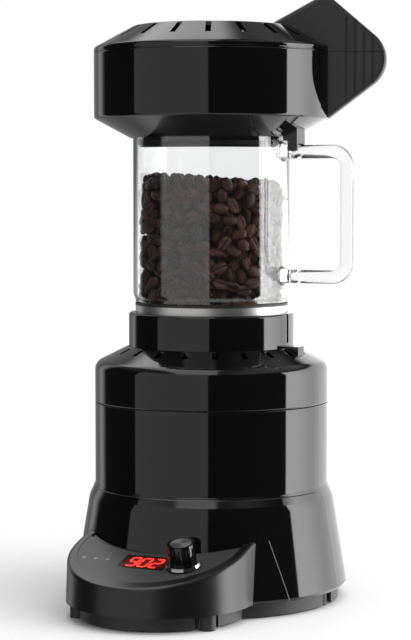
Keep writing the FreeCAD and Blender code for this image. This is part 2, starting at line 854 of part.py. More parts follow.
def make_bottom_cover():
    """The cover under the base, with intake slots and stands for the blower, and the legs under its edge."""
    disc = cylinder("cover_disc", "skirt_radius - plastic_wall - cover_play", "cover_thick", "cover_low")
    inset = "plastic_wall + rim_width * tan(console_draft) + cover_play"
    lobe = console_plan("cover_lobe", inset, "cover_low", "cover_thick")
    plate = fuse("cover_plate", [disc, lobe])
    stands = [cylinder(f"stand_{index}", "stand_radius", f"inlet_height - ({COVER_TOP})", COVER_TOP,
                       **polar("stand_ring", angle)) for index, angle in enumerate(frame_angles())]
    slots = [spoke(f"grille_{index}", angle, "grille_start", "grille_end", "grille_width", "cover_low - 1",
                   "cover_thick + 2") for index, angle in enumerate(around("grille_count"))]
    holes = [screw_hole(f"cover_hole_{index}", seat="cover_low - 1", **polar("post_ring", angle))
             for index, angle in enumerate(around("post_count", "post_angle"))]
    seats = [f"{COVER_TOP} + bracket_flange_thick", "inlet_height + inlet_thick"]
    for level, (ring, seat) in enumerate(zip(["bracket_screw_ring", "stand_ring"], seats)):
        holes += [screw_hole(f"stand_hole_{level}_{index}", seat=seat, flip=-1, **polar(ring, angle))
                  for index, angle in enumerate(frame_angles())]
    body = fuse("cover_body", [plate] + stands + make_bracket_bosses())
    node(cut("bottom_cover", body, slots + holes), "bottom_cover")
    node(make_legs(), "base_legs")


def make_bracket_bosses():
    """Short bosses under the cover that the motor screws bite into."""
    return [cylinder(f"boss_{index}", "stand_radius", "cover_low - leg_low - screw_head", "leg_low + screw_head",
                     **polar("bracket_screw_ring", angle)) for index, angle in enumerate(frame_angles())]


def make_legs():
    """A wall under the cover's edge, open around each foot."""
    height = "cover_low - leg_low"
    outer = fuse("legs_outer", [cylinder("legs_ring", "skirt_radius - leg_inset", height, "leg_low"),
                                console_plan("legs_lobe", "leg_inset + plastic_wall", "leg_low", height)])
    inner_ring = cylinder("legs_ring_room", "skirt_radius - leg_inset - leg_wall", height + " + 2", "leg_low - 1")
    inner_lobe = console_plan("legs_lobe_room", "leg_inset + plastic_wall + leg_wall", "leg_low - 1", height + " + 2")
    gaps = [cylinder(f"leg_gap_{index}", "leg_gap / 2", height + " + 1", "leg_low - 1", spot["x"], spot["y"])
            for index, spot in enumerate(foot_spots())]
    return cut("legs", outer, [inner_ring, inner_lobe] + gaps)


def make_feet():
    """Rubber feet under the cover."""
    feet = [cylinder(f"foot_{index}", "foot_radius", "cover_low", "0", spot["x"], spot["y"])
            for index, spot in enumerate(foot_spots())]
    node(group("rubber_feet", feet), "rubber_feet")


def make_cover_screws():
    """The screws that hold the bottom cover to the posts."""
    screws = [screw(f"cover_screw_{index}", seat="cover_low", **polar("post_ring", angle))
              for index, angle in enumerate(around("post_count", "post_angle"))]
    node(group("cover_screws", screws), "cover_screws")


def make_frame_screws():
    """The screws that hold the motor bracket, the blower and the neck."""
    levels = [("bracket_screw_ring", f"{COVER_TOP} + bracket_flange_thick", -1),
              ("stand_ring", "inlet_height + inlet_thick", -1),
              ("neck_screw_ring", "neck_foot - sheet_thick", 1)]
    screws = [screw(f"frame_screw_{level}_{index}", seat=seat, flip=flip, **polar(ring, angle))
              for level, (ring, seat, flip) in enumerate(levels)
              for index, angle in enumerate(frame_angles())]
    node(group("frame_screws", screws), "frame_screws")


def make_motor():
    """The motor's can, bearings, magnets and bracket."""
    top = "motor_low + motor_height"
    inner = "motor_radius - motor_wall"
    node(turned("motor_can", [
        ("bearing_radius", "motor_low"),
        ("motor_radius", "motor_low"),
        ("motor_radius", top),
        ("bearing_radius", top),
        ("bearing_radius", f"{top} - motor_wall"),
        (inner, f"{top} - motor_wall"),
        (inner, "motor_low + motor_wall"),
        ("bearing_radius", "motor_low + motor_wall")]), "motor_can")
    bearings = [tube(f"bearing_{index}", "bearing_radius", "shaft_radius + shaft_play", "motor_wall", low)
                for index, low in enumerate(["motor_low", f"{top} - motor_wall"])]
    node(group("motor_bearings", bearings), "motor_bearings")
    ring = tube("magnet_ring", inner, f"{inner} - magnet_thick", "magnet_height", "magnet_low")
    split = box("magnet_split", "motor_radius", "2 * motor_radius", "magnet_height + 2",
                "0 - motor_radius / 2", "0 - motor_radius", "magnet_low - 1")
    node(cut("motor_magnets", ring, split), "motor_magnets")
    grip = "motor_radius + bracket_play"
    bracket = turned("bracket_cup", [
        ("bracket_flange", COVER_TOP),
        ("bracket_flange", f"{COVER_TOP} + bracket_flange_thick"),
        (f"{grip} + bracket_wall", f"{COVER_TOP} + bracket_flange_thick"),
        (f"{grip} + bracket_wall", "bracket_top"),
        (grip, "bracket_top"),
        (grip, "motor_low"),
        ("motor_radius - bracket_wall", "motor_low"),
        ("motor_radius - bracket_wall", COVER_TOP)])
    holes = [screw_hole(f"bracket_hole_{index}", seat="motor_low", flip=-1, **polar("bracket_screw_ring", angle))
             for index, angle in enumerate(frame_angles())]
    node(cut("motor_bracket", bracket, holes), "motor_bracket")


def make_rotor():
    """What the motor turns: shaft, armature and impeller."""
    top = "impeller_low + impeller_height"
    node(cylinder("motor_shaft", "shaft_radius", f"{top} + shaft_radius - shaft_low", "shaft_low"), "motor_shaft")
    reach = "motor_radius - motor_wall - magnet_thick - armature_gap"
    core = cylinder("armature_core", reach, "magnet_height", "magnet_low")
    slots = [spoke(f"armature_slot_{index}", angle, f"{reach} - armature_slot_depth", "motor_radius",
                   "armature_slot_width", "magnet_low - 1", "magnet_height + 2")
             for index, angle in enumerate(around("armature_slots"))]
    ring = cylinder("commutator", "commutator_radius", "commutator_height", "magnet_low - commutator_height")
    bore = cylinder("armature_bore", "shaft_radius", "motor_height", "motor_low")
    wound = cut("armature_slotted", core, slots)
    node(cut("armature", fuse("armature_solid", [wound, ring]), bore), "armature")
    make_impeller()


def make_impeller():
    """A back plate over straight blades around a hub."""
    plate_low = "impeller_low + impeller_height - impeller_plate"
    plate = cylinder("impeller_disc", "impeller_radius", "impeller_plate", plate_low)
    hub = cylinder("impeller_hub", "hub_radius", "impeller_height", "impeller_low")
    blades = []
    for index, angle in enumerate(around("blade_count")):
        blade = add("Part::Box", f"blade_{index}", Length="impeller_radius - blade_start - blade_thick",
                    Width="blade_thick", Height="impeller_height - impeller_plate / 2")
        move(blade, z="impeller_low", yaw=f"{angle} + blade_angle", **polar("blade_start", angle))
        blades.append(blade)
    trim = cylinder("impeller_trim", "impeller_radius", "impeller_height", "impeller_low")
    solid = fuse("impeller_solid", [plate, hub] + blades)
    common = doc.addObject("Part::Common", "impeller_round")
    common.Base = solid
    common.Tool = trim
    bore = cylinder("impeller_bore", "shaft_radius", "impeller_height + 2", "impeller_low - 1")
    node(cut("impeller", common, bore), "impeller")


def make_blower_case():
    """The plate with the blower's inlet and the casing above it."""
    plate = tube("inlet_disc", "blower_radius", "inlet_hole", "inlet_thick", "inlet_height")
    holes = [screw_hole(f"inlet_hole_{index}", seat="impeller_low", flip=-1, **polar("stand_ring", angle))
             for index, angle in enumerate(frame_angles())]
    node(cut("blower_inlet_plate", plate, holes), "blower_inlet_plate")
    inner = "blower_radius - blower_wall"
    low = "inlet_height + inlet_thick"
    collar = "heater_radius - mica_play / 2"
    node(turned("blower_housing", [
        (inner, low),
        ("blower_radius", low),
        ("blower_radius", "blower_top"),
        (collar, "blower_top"),
        (collar, "blower_top + outlet_rise"),
        ("outlet_radius", "blower_top + outlet_rise"),
        ("outlet_radius", "blower_top - blower_wall"),
        (inner, "blower_top - blower_wall")]), "blower_housing")


def make_heater():
    """The metal tube around the heater, its mica frame, coils, cut-outs and probe."""
    outer = "heater_radius + heater_wall"
    flange_low = "neck_foot - sheet_thick"
    shell = turned("heater_sheet", [
        ("heater_radius", "blower_top"),
        (outer, "blower_top"),
        (outer, flange_low),
        ("heater_flange", flange_low),
        ("heater_flange", "neck_foot"),
        ("heater_radius", "neck_foot")])
    probe = add("Part::Cylinder", "probe_way", Radius="probe_radius + screw_play", Height="probe_length")
    holes = [place_probe(probe)]
    holes += [screw_hole(f"flange_hole_{index}", seat="neck_foot - screw_length / 2",
                         **polar("neck_screw_ring", angle)) for index, angle in enumerate(frame_angles())]
    node(cut("heater_tube", shell, holes), "heater_tube")
    stem = add("Part::Cylinder", "temperature_probe", Radius="probe_radius", Height="probe_length")
    node(place_probe(stem), "temperature_probe")
    make_mica()
    make_cutouts()


def place_probe(thing):
    """Lay the probe through the heater tube's wall, toward the left."""
    thing.Placement.Rotation = FreeCAD.Rotation(FreeCAD.Vector(0, 1, 0), 90)
    return move(thing, x="0 - heater_radius - probe_length / 2", z="probe_height")


def make_mica():
    """Crossed boards between two discs, and the coil banks that the discs hold."""
    low = "blower_top + outlet_rise"
    reach = "heater_radius - mica_play"
    discs = []
    for index, height in enumerate([low, f"{low} + mica_height - mica_thick"]):
        disc = cylinder(f"mica_disc_{index}", reach, "mica_thick", height)
        holes = [cylinder(f"mica_way_{index}_{number}", "coil_radius - coil_wall", "mica_thick + 2", f"{height} - 1",
                          **polar("coil_ring", angle)) for number, angle in enumerate(coil_angles())]
        discs.append(cut(f"mica_ring_{index}", disc, holes))
    boards = [spoke(f"mica_board_{angle}", angle, f"0 - ({reach})", reach, "mica_thick", low, "mica_height")
              for angle in ("0", "90")]
    edge = tube("mica_trim", "2 * heater_radius", reach, "2 * mica_height", "blower_top")
    node(cut("mica_frame", fuse("mica_cross", discs + boards), edge), "mica_frame")
    coils = [tube(f"coil_{index}", "coil_radius", "coil_radius - coil_wall", "mica_height - 2 * mica_thick",
                  f"{low} + mica_thick", **polar("coil_ring", angle)) for index, angle in enumerate(coil_angles())]
    node(group("heating_coils", coils), "heating_coils")


def coil_angles():
    """The angles of the coil banks, each midway between two boards."""
    return around("coil_count", "180 / coil_count")


def make_cutouts():
    """The thermostat and the thermal fuse, clamped against the heater tube."""
    outer = "heater_radius + heater_wall"
    block = box("thermostat_block", "thermostat_width", "thermostat_depth", "thermostat_height",
                "0 - thermostat_width / 2", "0 - heater_radius - thermostat_depth", "thermostat_low")
    saddle = cylinder("thermostat_saddle", f"{outer} + weld_play", "2 * thermostat_height", "thermostat_low - 1")
    node(cut("thermostat", block, saddle), "thermostat")
    reach = f"{outer} + fuse_radius + weld_play"
    node(cylinder("thermal_fuse", "fuse_radius", "fuse_length", "thermostat_low", **polar(reach, "frame_screw_angle")),
         "thermal_fuse")


def make_power_board():
    """The upright mains board behind the heater, in two grooved rails on the blower's casing."""
    edge = "power_across / 2 - rail_groove"
    board = box("power_board", "power_across", "board_thick", "power_height", "0 - power_across / 2",
                "power_back", "blower_top + rail_play")
    node(board, "power_board")
    way = box("rail_way", "power_across + 2 * rail_play", "board_thick + 2 * rail_play", "power_height",
              "0 - power_across / 2 - rail_play", "power_back - rail_play", "blower_top + rail_play / 2")
    rails = [box(f"rail_{side}", "rail_width", "rail_depth", "power_height", left,
                 "power_back + board_thick / 2 - rail_depth / 2", "blower_top")
             for side, left in enumerate([edge, f"0 - ({edge}) - rail_width"])]
    node(cut("board_rails", group("rail_pair", rails), way), "board_rails")
    node(box("transformer", "transformer_width", "transformer_depth", "transformer_height",
             "0 - transformer_width / 2", "power_back + board_thick", "blower_top + rail_depth"), "transformer")
    low = "blower_top + power_height - sink_height - rail_depth"
    base = box("sink_plate", "sink_width", "sink_base", "sink_height", "0 - sink_width / 2",
               "power_back - sink_base", low)
    step = "(sink_width - sink_fin_thick) / (sink_fins - 1)"
    fins = [box(f"sink_fin_{index}", "sink_fin_thick", "sink_depth", "sink_height",
                f"{index} * {step} - sink_width / 2", "power_back - sink_depth", low)
            for index in range(count("sink_fins"))]
    node(fuse("heat_sink", [base] + fins), "heat_sink")


def make_panel():
    """What lies on and under the sloping panel, all but the knob."""
    deep = "console_front - console_half_width"
    radius = "console_half_width - rim_width - overlay_play"
    disc = panel_cylinder("overlay_disc", radius, "overlay_thick", "0", deep, "0 - recess_depth")
    skirt = f"skirt_radius - (panel_height / 2 - skirt_low) * {SKIRT_SLOPE} + overlay_play"
    body = cylinder("overlay_skirt", skirt, "2 * panel_height")
    way = panel_box("overlay_window", "window_width + 2 * overlay_play", "window_length + 2 * overlay_play",
                    "2 * recess_depth", "display_across", "panel_line", "0 - 1.5 * recess_depth")
    stem = panel_cylinder("overlay_stem", "bush_radius + bush_play", "2 * recess_depth", "knob_across",
                          "panel_line", "0 - 1.5 * recess_depth")
    lights = light_spots()
    holes = [panel_cylinder(f"overlay_light_{index}", "light_radius + overlay_play", "2 * recess_depth", across,
                            "panel_line", "0 - 1.5 * recess_depth") for index, across in enumerate(lights)]
    node(cut("control_overlay", disc, [body, way, stem] + holes), "control_overlay")
    node(panel_box("display_window", "window_width", "window_length", "window_thick", "display_across",
                   "panel_line", "0 - recess_depth"), "display_window")
    lenses = [panel_cylinder(f"lens_{index}", "light_radius", "overlay_thick", across, "panel_line",
                             "0 - recess_depth") for index, across in enumerate(lights)]
    node(group("indicator_lights", lenses), "indicator_lights")
    node(panel_box("control_board", "board_width", "board_length", "board_thick", "0", "panel_line",
                   f"{BOARD_TOP} - board_thick"), "control_board")
    node(panel_box("display_module", "window_width - 2 * window_frame", "window_length - 2 * window_frame",
                   "board_depth - recess_depth - overlay_play", "display_across", "panel_line", BOARD_TOP),
         "display_module")


def light_spots():
    """How far across the panel each indicator light is."""
    return [f"light_across - {index} * light_pitch" for index in range(count("light_count"))]


def make_selector():
    """The encoder under the panel, its plunger and the knob on its stem."""
    height = "board_depth - recess_depth - plastic_wall - bush_play"
    block = panel_box("encoder_block", "encoder_width", "encoder_width", height, "knob_across", "panel_line", BOARD_TOP)
    bush = panel_cylinder("encoder_bush", "bush_radius", "board_depth - recess_depth + overlay_thick", "knob_across",
                          "panel_line", BOARD_TOP)
    bore = panel_cylinder("encoder_bore", "stem_radius + stem_play", "2 * board_depth", "knob_across", "panel_line",
                          BOARD_TOP)
    node(cut("encoder_body", fuse("encoder_solid", [block, bush]), bore), "encoder_body")
    plunger_low = f"{BOARD_TOP} + select_travel + overlay_play"
    node(panel_cylinder("select_plunger", "plunger_radius", "plunger_height", "knob_across", "panel_line",
                        plunger_low), "select_plunger")
    stem_low = f"{plunger_low} + plunger_height"
    stem_top = "knob_lift + knob_height - 2 * knob_disc_thick - flute_radius"
    node(panel_cylinder("knob_stem", "stem_radius", f"{stem_top} - ({stem_low})", "knob_across", "panel_line",
                        stem_low), "knob_stem")
    make_knob(stem_top)


def make_knob(stem_top):
    """A fluted grip with a metal skirt and a metal disc in its top."""
    low = "knob_lift"
    skirt = add("Part::Cone", "knob_skirt_cone", Radius1="knob_skirt_radius", Radius2="knob_skirt_radius - flute_radius",
                Height="knob_skirt_thick")
    on_panel(skirt, "knob_across", "panel_line", low)
    skirt_bore = panel_cylinder("knob_skirt_bore", "stem_radius", "2 * knob_height", "knob_across", "panel_line", "0")
    node(cut("knob_skirt", skirt, skirt_bore), "knob_skirt")
    grip_low = f"{low} + knob_skirt_thick"
    grip_height = "knob_height - knob_skirt_thick"
    grip = panel_cylinder("knob_body", "knob_radius", grip_height, "knob_across", "panel_line", grip_low)
    flutes = [panel_flute(index, angle, grip_low) for index, angle in enumerate(around("knob_flutes"))]
    bore = panel_cylinder("knob_bore", "stem_radius", f"{stem_top} - ({grip_low}) + 1", "knob_across", "panel_line",
                          f"{grip_low} - 1")
    seat = panel_cylinder("knob_disc_seat", "knob_disc_radius", "2 * knob_disc_thick", "knob_across", "panel_line",
                          f"{low} + knob_height - knob_disc_thick")
    node(cut("knob_grip", grip, flutes + [bore, seat]), "knob_grip")
    node(panel_cylinder("knob_disc", "knob_disc_radius", "knob_disc_thick", "knob_across", "panel_line",
                        f"{low} + knob_height - knob_disc_thick"), "knob_disc")


def panel_flute(index, angle, low):
    """One groove down the side of the knob, square to the panel."""
    across = f"knob_across + knob_radius * cos({angle})"
    flute = add("Part::Cylinder", f"flute_{index}", Radius="flute_radius", Height="knob_height - 2 * knob_skirt_thick")
    return on_panel(flute, across, "panel_line", low, down=f"knob_radius * sin({angle})")


def make_chamber():
    """The glass tube, its metal base ring and the drilled plate that the beans lie on."""
    inner = "glass_radius - glass_wall"
    node(turned("chamber_glass", [
        (f"{inner} - glass_tuck", "glass_low"),
        ("glass_radius - glass_tuck", "glass_low"),
        ("glass_radius", "glass_low + glass_tuck_height"),
        ("glass_radius", "glass_top"),
        (inner, "glass_top"),
        (inner, "glass_low + glass_tuck_height")],
        [(2, "2 * glass_tuck_height"), (3, "glass_lip_round")]), "chamber_glass")
    bore = "ring_radius - ring_wall"
    seat = "ring_top - glass_wall - air_plate_thick"
    ring = turned("ring_shell", [
        (bore, "neck_ledge + seat_gasket_thick + part_gap"),
        ("ring_radius", "neck_ledge + seat_gasket_thick + part_gap"),
        ("ring_radius", "ring_top"),
        (bore, "ring_top"),
        (bore, seat),
        (f"{bore} - ring_lip", seat),
        (f"{bore} - ring_lip", f"{seat} - ring_lip_thick"),
        (bore, f"{seat} - ring_lip_thick")])
    rivet = radial_rod("ring_rivet", "rivet_radius", "ring_wall / 2 + rivet_depth", "rivet_angle",
                       "ring_radius - ring_wall / 2", "ring_top - glass_wall")
    node(fuse("chamber_ring", [ring, rivet]), "chamber_ring")
    node(radial_rod("locating_pin", "pin_radius", "pin_length", "0", "ring_radius + weld_play", "pin_height"),
         "locating_pin")
    node(tube("ring_gasket", "ring_radius + rivet_depth / 2", f"{bore} - part_gap", "ring_gasket_thick", "ring_top"),
         "ring_gasket")
    plate = cylinder("air_disc", f"{bore} - air_plate_play", "air_plate_thick", seat)
    holes = []
    for ring_number in range(1, count("air_rings") + 1):
        holes += [cylinder(f"air_hole_{ring_number}_{index}", "air_hole_radius", "air_plate_thick + 2", f"{seat} - 1",
                           **polar(f"{ring_number} * air_ring_pitch", angle))
                  for index, angle in enumerate(around(f"({ring_number} * air_holes_each)"))]
    node(cut("air_plate", plate, holes), "air_plate")


def radial_rod(name, radius, length, angle, start, height):
    """A short rod that points outward at a height."""
    rod = add("Part::Cylinder", name, Radius=radius, Height=length)
    rod.Placement.Rotation = FreeCAD.Rotation(FreeCAD.Vector(0, 1, 0), 90)
    spot = polar(start, angle)
    rod.setExpression("Placement.Rotation.Yaw", bound(within_half_turn(angle)))
    return move(rod, spot["x"], spot["y"], height)


def make_glass_handle():
    """A bent glass rod whose two ends are welded to the chamber's wall."""
    start = "glass_radius - glass_wall / 2"
    bend = "rod_reach - rod_bend"
    pieces = []
    for index, (height, way) in enumerate([("rod_low", 1), ("rod_high", -1)]):
        pieces.append(radial_rod(f"rod_run_{index}", "rod_radius", f"{bend} - ({start})", "0", start, height))
        flare = add("Part::Cone", f"rod_weld_{index}", Radius1="weld_radius", Radius2="rod_radius",
                    Height="weld_length + glass_wall / 2")
        flare.Placement.Rotation = FreeCAD.Rotation(FreeCAD.Vector(0, 1, 0), 90)
        pieces.append(move(flare, start, "0", height))
        pieces.append(bend_torus(f"rod_bend_{index}", bend, f"{height} + {way} * rod_bend", way))
    pieces.append(cylinder("rod_grip", "rod_radius", "rod_high - rod_low - 2 * rod_bend", "rod_low + rod_bend",
                           "rod_reach"))
    wall = cylinder("rod_wall", "glass_radius + weld_play", "glass_top", "0")
    node(cut("chamber_handle", fuse("rod_solid", pieces), wall), "chamber_handle")


def bend_torus(name, x, z, way):
    """A quarter turn of the rod in the XZ plane; way is 1 for the lower bend."""
    ring = add("Part::Torus", name, Radius1="rod_bend", Radius2="rod_radius")
    ring.Angle3 = 90
    turn = FreeCAD.Rotation(FreeCAD.Vector(1, 0, 0), 90)
    if way > 0:
        turn = FreeCAD.Rotation(FreeCAD.Vector(0, 1, 0), 90).multiply(turn)
    ring.Placement.Rotation = turn
    return move(ring, x, "0", z)


def bowl_cone(radius, lift="0"):
    """The height of the bowl's underside at a radius, plus a lift."""
    slope = "bowl_cone_rise / (bowl_radius - glass_radius - part_gap - bowl_collar)"
    return f"bowl_collar_low + (({radius}) - glass_radius - part_gap - bowl_collar) * {slope} + ({lift})"


def make_bowl():
    """The chaff bowl: a spigot inside the glass, a collar around it, a sloping floor and a wall."""
    collar = "glass_radius + part_gap"
    inner = "bowl_radius - bowl_wall"
    seat = "glass_top + part_gap"
    spigot = "glass_radius - glass_wall - spigot_play"
    throat = f"{spigot} - spigot_wall"
    floor = f"{seat} + bowl_floor"
    shell = turned("bowl_shell", [
        (collar, "bowl_collar_low"),
        (f"{collar} + bowl_collar", "bowl_collar_low"),
        ("bowl_radius", bowl_cone("bowl_radius")),
        ("bowl_radius", "bowl_seam - part_gap / 2"),
        (inner, "bowl_seam - part_gap / 2"),
        (inner, bowl_cone(inner, "bowl_floor")),
        (f"{collar} + bowl_floor", bowl_cone(f"{collar} + bowl_floor", "bowl_floor")),
        (f"{collar} - bowl_collar", floor),
        (throat, floor),
        (throat, "spigot_low"),
        (spigot, "spigot_low"),
        (spigot, seat),
        (collar, seat)], [(2, "bowl_round")])
    node(cut("collector_bowl", shell, bowl_screw_tools("bowl_way", "screw_radius + screw_play", "0")),
         "collector_bowl")
    node(tube("bowl_gasket", f"{spigot} + bowl_gasket_thick", spigot, "bowl_gasket_height", "bowl_gasket_low"),
         "bowl_gasket")
    make_chimney(throat, floor)


def bowl_screw_tools(name, radius, start):
    """Rods along the handle's direction, one for each screw through the bowl's wall."""
    first = f"bowl_radius - bowl_wall + ({start})"
    return [radial_rod(f"{name}_{index}", radius, f"screw_length - ({start})", "plate_angle", first,
                       f"bowl_screw_low + {index} * bowl_screw_pitch") for index in range(count("handle_screw_count"))]


def make_chimney(throat, floor):
    """The sheet-metal chimney that lifts the air above the chaff, and the cap over it."""
    top = "chimney_radius"
    node(turned("chimney", [
        (f"{throat} - part_gap", floor),
        ("chimney_flange", floor),
        ("chimney_flange", f"{floor} + sheet_thick"),
        (f"{throat} + sheet_thick", f"{floor} + sheet_thick"),
        (top, "chimney_cone_top"),
        (top, "chimney_top"),
        (f"{top} - sheet_thick", "chimney_top"),
        (f"{top} - sheet_thick", "chimney_cone_top - sheet_thick / 2")]), "chimney")
    cap = turned("cap_cone", [
        ("0", "cap_low + cap_height"),
        ("cap_radius", "cap_low"),
        ("cap_radius", "cap_low + sheet_thick"),
        ("0", "cap_low + cap_height + sheet_thick")])
    reach = f"{top} + weld_play"
    legs = [spoke(f"cap_leg_{index}", angle, reach, f"{reach} + 2 * sheet_thick", "cap_leg_width",
                  "chimney_top - cap_leg_lap", "cap_leg_lap + cap_gap + cap_leg_rise")
            for index, angle in enumerate(frame_angles())]
    room = turned("cap_room", [
        ("0", "cap_low + cap_height + sheet_thick / 2"),
        ("cap_radius", "cap_low + sheet_thick / 2"),
        ("cap_radius", "bowl_seam + cap_radius"),
        ("0", "bowl_seam + cap_radius")])
    node(fuse("deflector", [cap, cut("cap_legs", group("cap_leg_set", legs), room)]), "deflector")


def make_clip():
    """The fork under the bowl that straddles the glass handle and sets the bowl's angle."""
    start = "glass_radius + part_gap + bowl_collar"
    block = box("clip_block", f"clip_reach - ({start}) - part_gap", "clip_width", "bowl_cone_rise + bowl_floor",
                f"{start} + part_gap", "0 - clip_width / 2", "clip_low")
    slot = box("clip_slot", "clip_reach", "2 * (rod_radius + clip_play)", "clip_width", "glass_radius",
               "0 - rod_radius - clip_play", "rod_high + rod_radius + clip_play - clip_width")
    weld = box("clip_weld_room", "weld_length + part_gap", "2 * clip_width", "clip_width", "glass_radius",
               "0 - clip_width", "rod_high + weld_radius + clip_play - clip_width")
    cone = add("Part::Cone", "clip_cone", Radius1=start, Radius2="bowl_radius", Height="bowl_cone_rise")
    move(cone, z="bowl_collar_low - weld_play")
    above = cylinder("clip_above", "bowl_radius", "bowl_cone_rise", "bowl_collar_low + bowl_cone_rise - weld_play")
    node(cut("locating_clip", block, [slot, weld, fuse("clip_bowl", [cone, above])]), "locating_clip")


def lid_cone(radius, drop="0"):
    """The height of the lid's cone at a radius, less a drop."""
    slope = "(lid_top - lid_edge) / (bowl_radius - lid_flat_radius)"
    return f"lid_edge + (bowl_radius - ({radius})) * {slope} - ({drop})"


def make_lid():
    """The lid: a short wall, a slotted cone, a flat top and a tongue inside the bowl."""
    tongue = "bowl_radius - bowl_wall - part_gap"
    bottom = "bowl_seam + part_gap / 2"
    inner = f"{tongue} - lid_tongue_thick"
    shell = turned("lid_shell", [
        ("0", "lid_top"),
        ("lid_flat_radius", "lid_top"),
        ("bowl_radius", "lid_edge"),
        ("bowl_radius", bottom),
        (tongue, bottom),
        (tongue, f"{bottom} - lid_tongue"),
        (inner, f"{bottom} - lid_tongue"),
        (inner, lid_cone(inner, "lid_wall")),
        ("lid_flat_radius", lid_cone("lid_flat_radius", "lid_wall")),
        ("0", "lid_top - lid_wall")], [(2, "lid_round"), (1, "lid_round")])
    slots = [spoke(f"lid_slot_{index}", angle, "lid_slot_start", "lid_slot_end", "lid_slot_width", bottom,
                   "lid_top - bowl_seam + lid_wall")
             for index, angle in enumerate(around("lid_slot_count", "lid_slot_angle")) if clear_of_plate(angle)]
    roof = turned("lid_boss_roof", [
        ("0", lid_cone("0", "lid_wall / 2")),
        ("bowl_radius", lid_cone("bowl_radius", "lid_wall / 2")),
        ("bowl_radius", "2 * lid_top"),
        ("0", "2 * lid_top")])
    studs = [cylinder(f"lid_stud_{index}", "lid_boss_radius", "lid_top - lid_boss_low", "lid_boss_low",
                      **polar(reach, "plate_angle")) for index, reach in enumerate(lid_screw_spots())]
    holes = [screw_hole(f"lid_hole_{index}", seat="lid_boss_low - 1", **polar(reach, "plate_angle"))
             for index, reach in enumerate(lid_screw_spots())]
    bosses = [cut(f"lid_boss_{index}", stud, roof) for index, stud in enumerate(studs)]
    solid = fuse("lid_solid", [cut("lid_slotted", shell, slots)] + bosses)
    node(cut("collector_lid", solid, holes), "collector_lid")
    screws = [screw(f"lid_screw_{index}", seat="lid_boss_low", **polar(reach, "plate_angle"))
              for index, reach in enumerate(lid_screw_spots())]
    node(group("lid_handle_screws", screws), "lid_handle_screws")
    make_screen(f"{inner} - screen_play", bottom)


def clear_of_plate(angle):
    """Whether a slot at this angle lies wholly beside the handle plate."""
    turn = math.radians(value(angle) - value("plate_angle"))
    beside = abs(math.sin(turn)) * value("lid_slot_start")
    return math.cos(turn) < 0 or beside > value("(plate_thick + lid_slot_width) / 2")


def lid_screw_spots():
    """How far from the axis each screw in the lid's handle stands."""
    return [f"bowl_radius - lid_screw_inset - {index} * lid_screw_pitch" for index in range(count("handle_screw_count"))]


def make_screen(reach, low):
    """The drilled chaff screen inside the lid's tongue and the ring that holds it up."""
    plate = cylinder("screen_plate", reach, "sheet_thick", low)
    holes = []
    for ring_number in range(1, count("screen_rings") + 1):
        holes += [cylinder(f"screen_hole_{ring_number}_{index}", "screen_hole_radius", "2 * sheet_thick",
                           f"{low} - sheet_thick / 2", **polar(f"{ring_number} * screen_ring_pitch", angle))
                  for index, angle in enumerate(around(f"({ring_number} * screen_holes_each)"))]
    node(cut("chaff_screen", plate, holes), "chaff_screen")
    node(tube("screen_ring", reach, f"{reach} - screen_frame", "screen_frame_height", f"{low} - screen_frame_height"),
         "screen_ring")


def make_plate():
    """The handle plate as one solid: four corners, two of them well rounded, with soft edges."""
    body = doc.addObject("PartDesign::Body", "plate")
    corners = [("plate_root", "plate_root_height"),
               ("plate_peak", "plate_peak_height"),
               ("plate_tip", "plate_tip_height"),
               ("plate_foot", "plate_foot_height"),
               ("plate_root", "plate_foot_height")]
    pad = body.newObject("PartDesign::Pad", "plate_pad")
    pad.Profile = outline(body, "XZ_Plane", corners)
    pad.SideType = "Symmetric"
    pad.setExpression("Length", bound("plate_thick"))
    doc.recompute()
    for corner, radius in ((1, "plate_peak_round"), (2, "plate_tip_round")):
        add_round(body, upright_edges(body.Tip.Shape, corners[corner]), radius)
    add_round(body, face_edges(body.Tip.Shape), "plate_edge")
    body.setExpression("Placement.Rotation.Yaw", bound("plate_angle"))
    return cut("plate_gripped", body, grip_tools())


def upright_edges(shape, corner):
    """The edge that runs through the plate's thickness at one corner of its outline."""
    reach, height = value(corner[0]), value(corner[1])
    return [f"Edge{index}" for index, edge in enumerate(shape.Edges, start=1)
            if all(abs(spot.Point.x - reach) < 1e-3 and abs(spot.Point.z - height) < 1e-3 for spot in edge.Vertexes)]


def face_edges(shape):
    """The outer edges of the plate's two faces, without those at its root."""
    half = value("plate_thick") / 2
    limit = value("plate_root") + 1e-3
    foot = value("plate_foot_height") + 1e-3
    names = []
    for index, edge in enumerate(shape.Edges, start=1):
        on_face = all(abs(abs(spot.Point.y) - half) < 1e-3 for spot in edge.Vertexes)
        at_root = all(spot.Point.x < limit or spot.Point.z < foot for spot in edge.Vertexes)
        crosses = abs(edge.Vertexes[0].Point.y - edge.Vertexes[-1].Point.y) > 1e-3
        if on_face and not at_root and not crosses:
            names.append(f"Edge{index}")
    return names


def grip_tools():
    """Boxes that cut the upright grip grooves into both faces of the plate."""
    tools = []
    for index in range(count("grip_count")):
        reach = f"(grip_first + {index} * grip_pitch)"
        for side in (-1, 1):
            middle = f"{side} * (plate_thick / 2) - grip_depth"
            tool = add("Part::Box", f"grip_{index}_{side + 1}", Length="grip_width", Width="2 * grip_depth",
                       Height="grip_height")
            x = f"{reach} * cos(plate_angle) - ({middle}) * sin(plate_angle)"
            y = f"{reach} * sin(plate_angle) + ({middle}) * cos(plate_angle)"
            tools.append(move(tool, x, y, "grip_low", yaw="plate_angle"))
    return tools


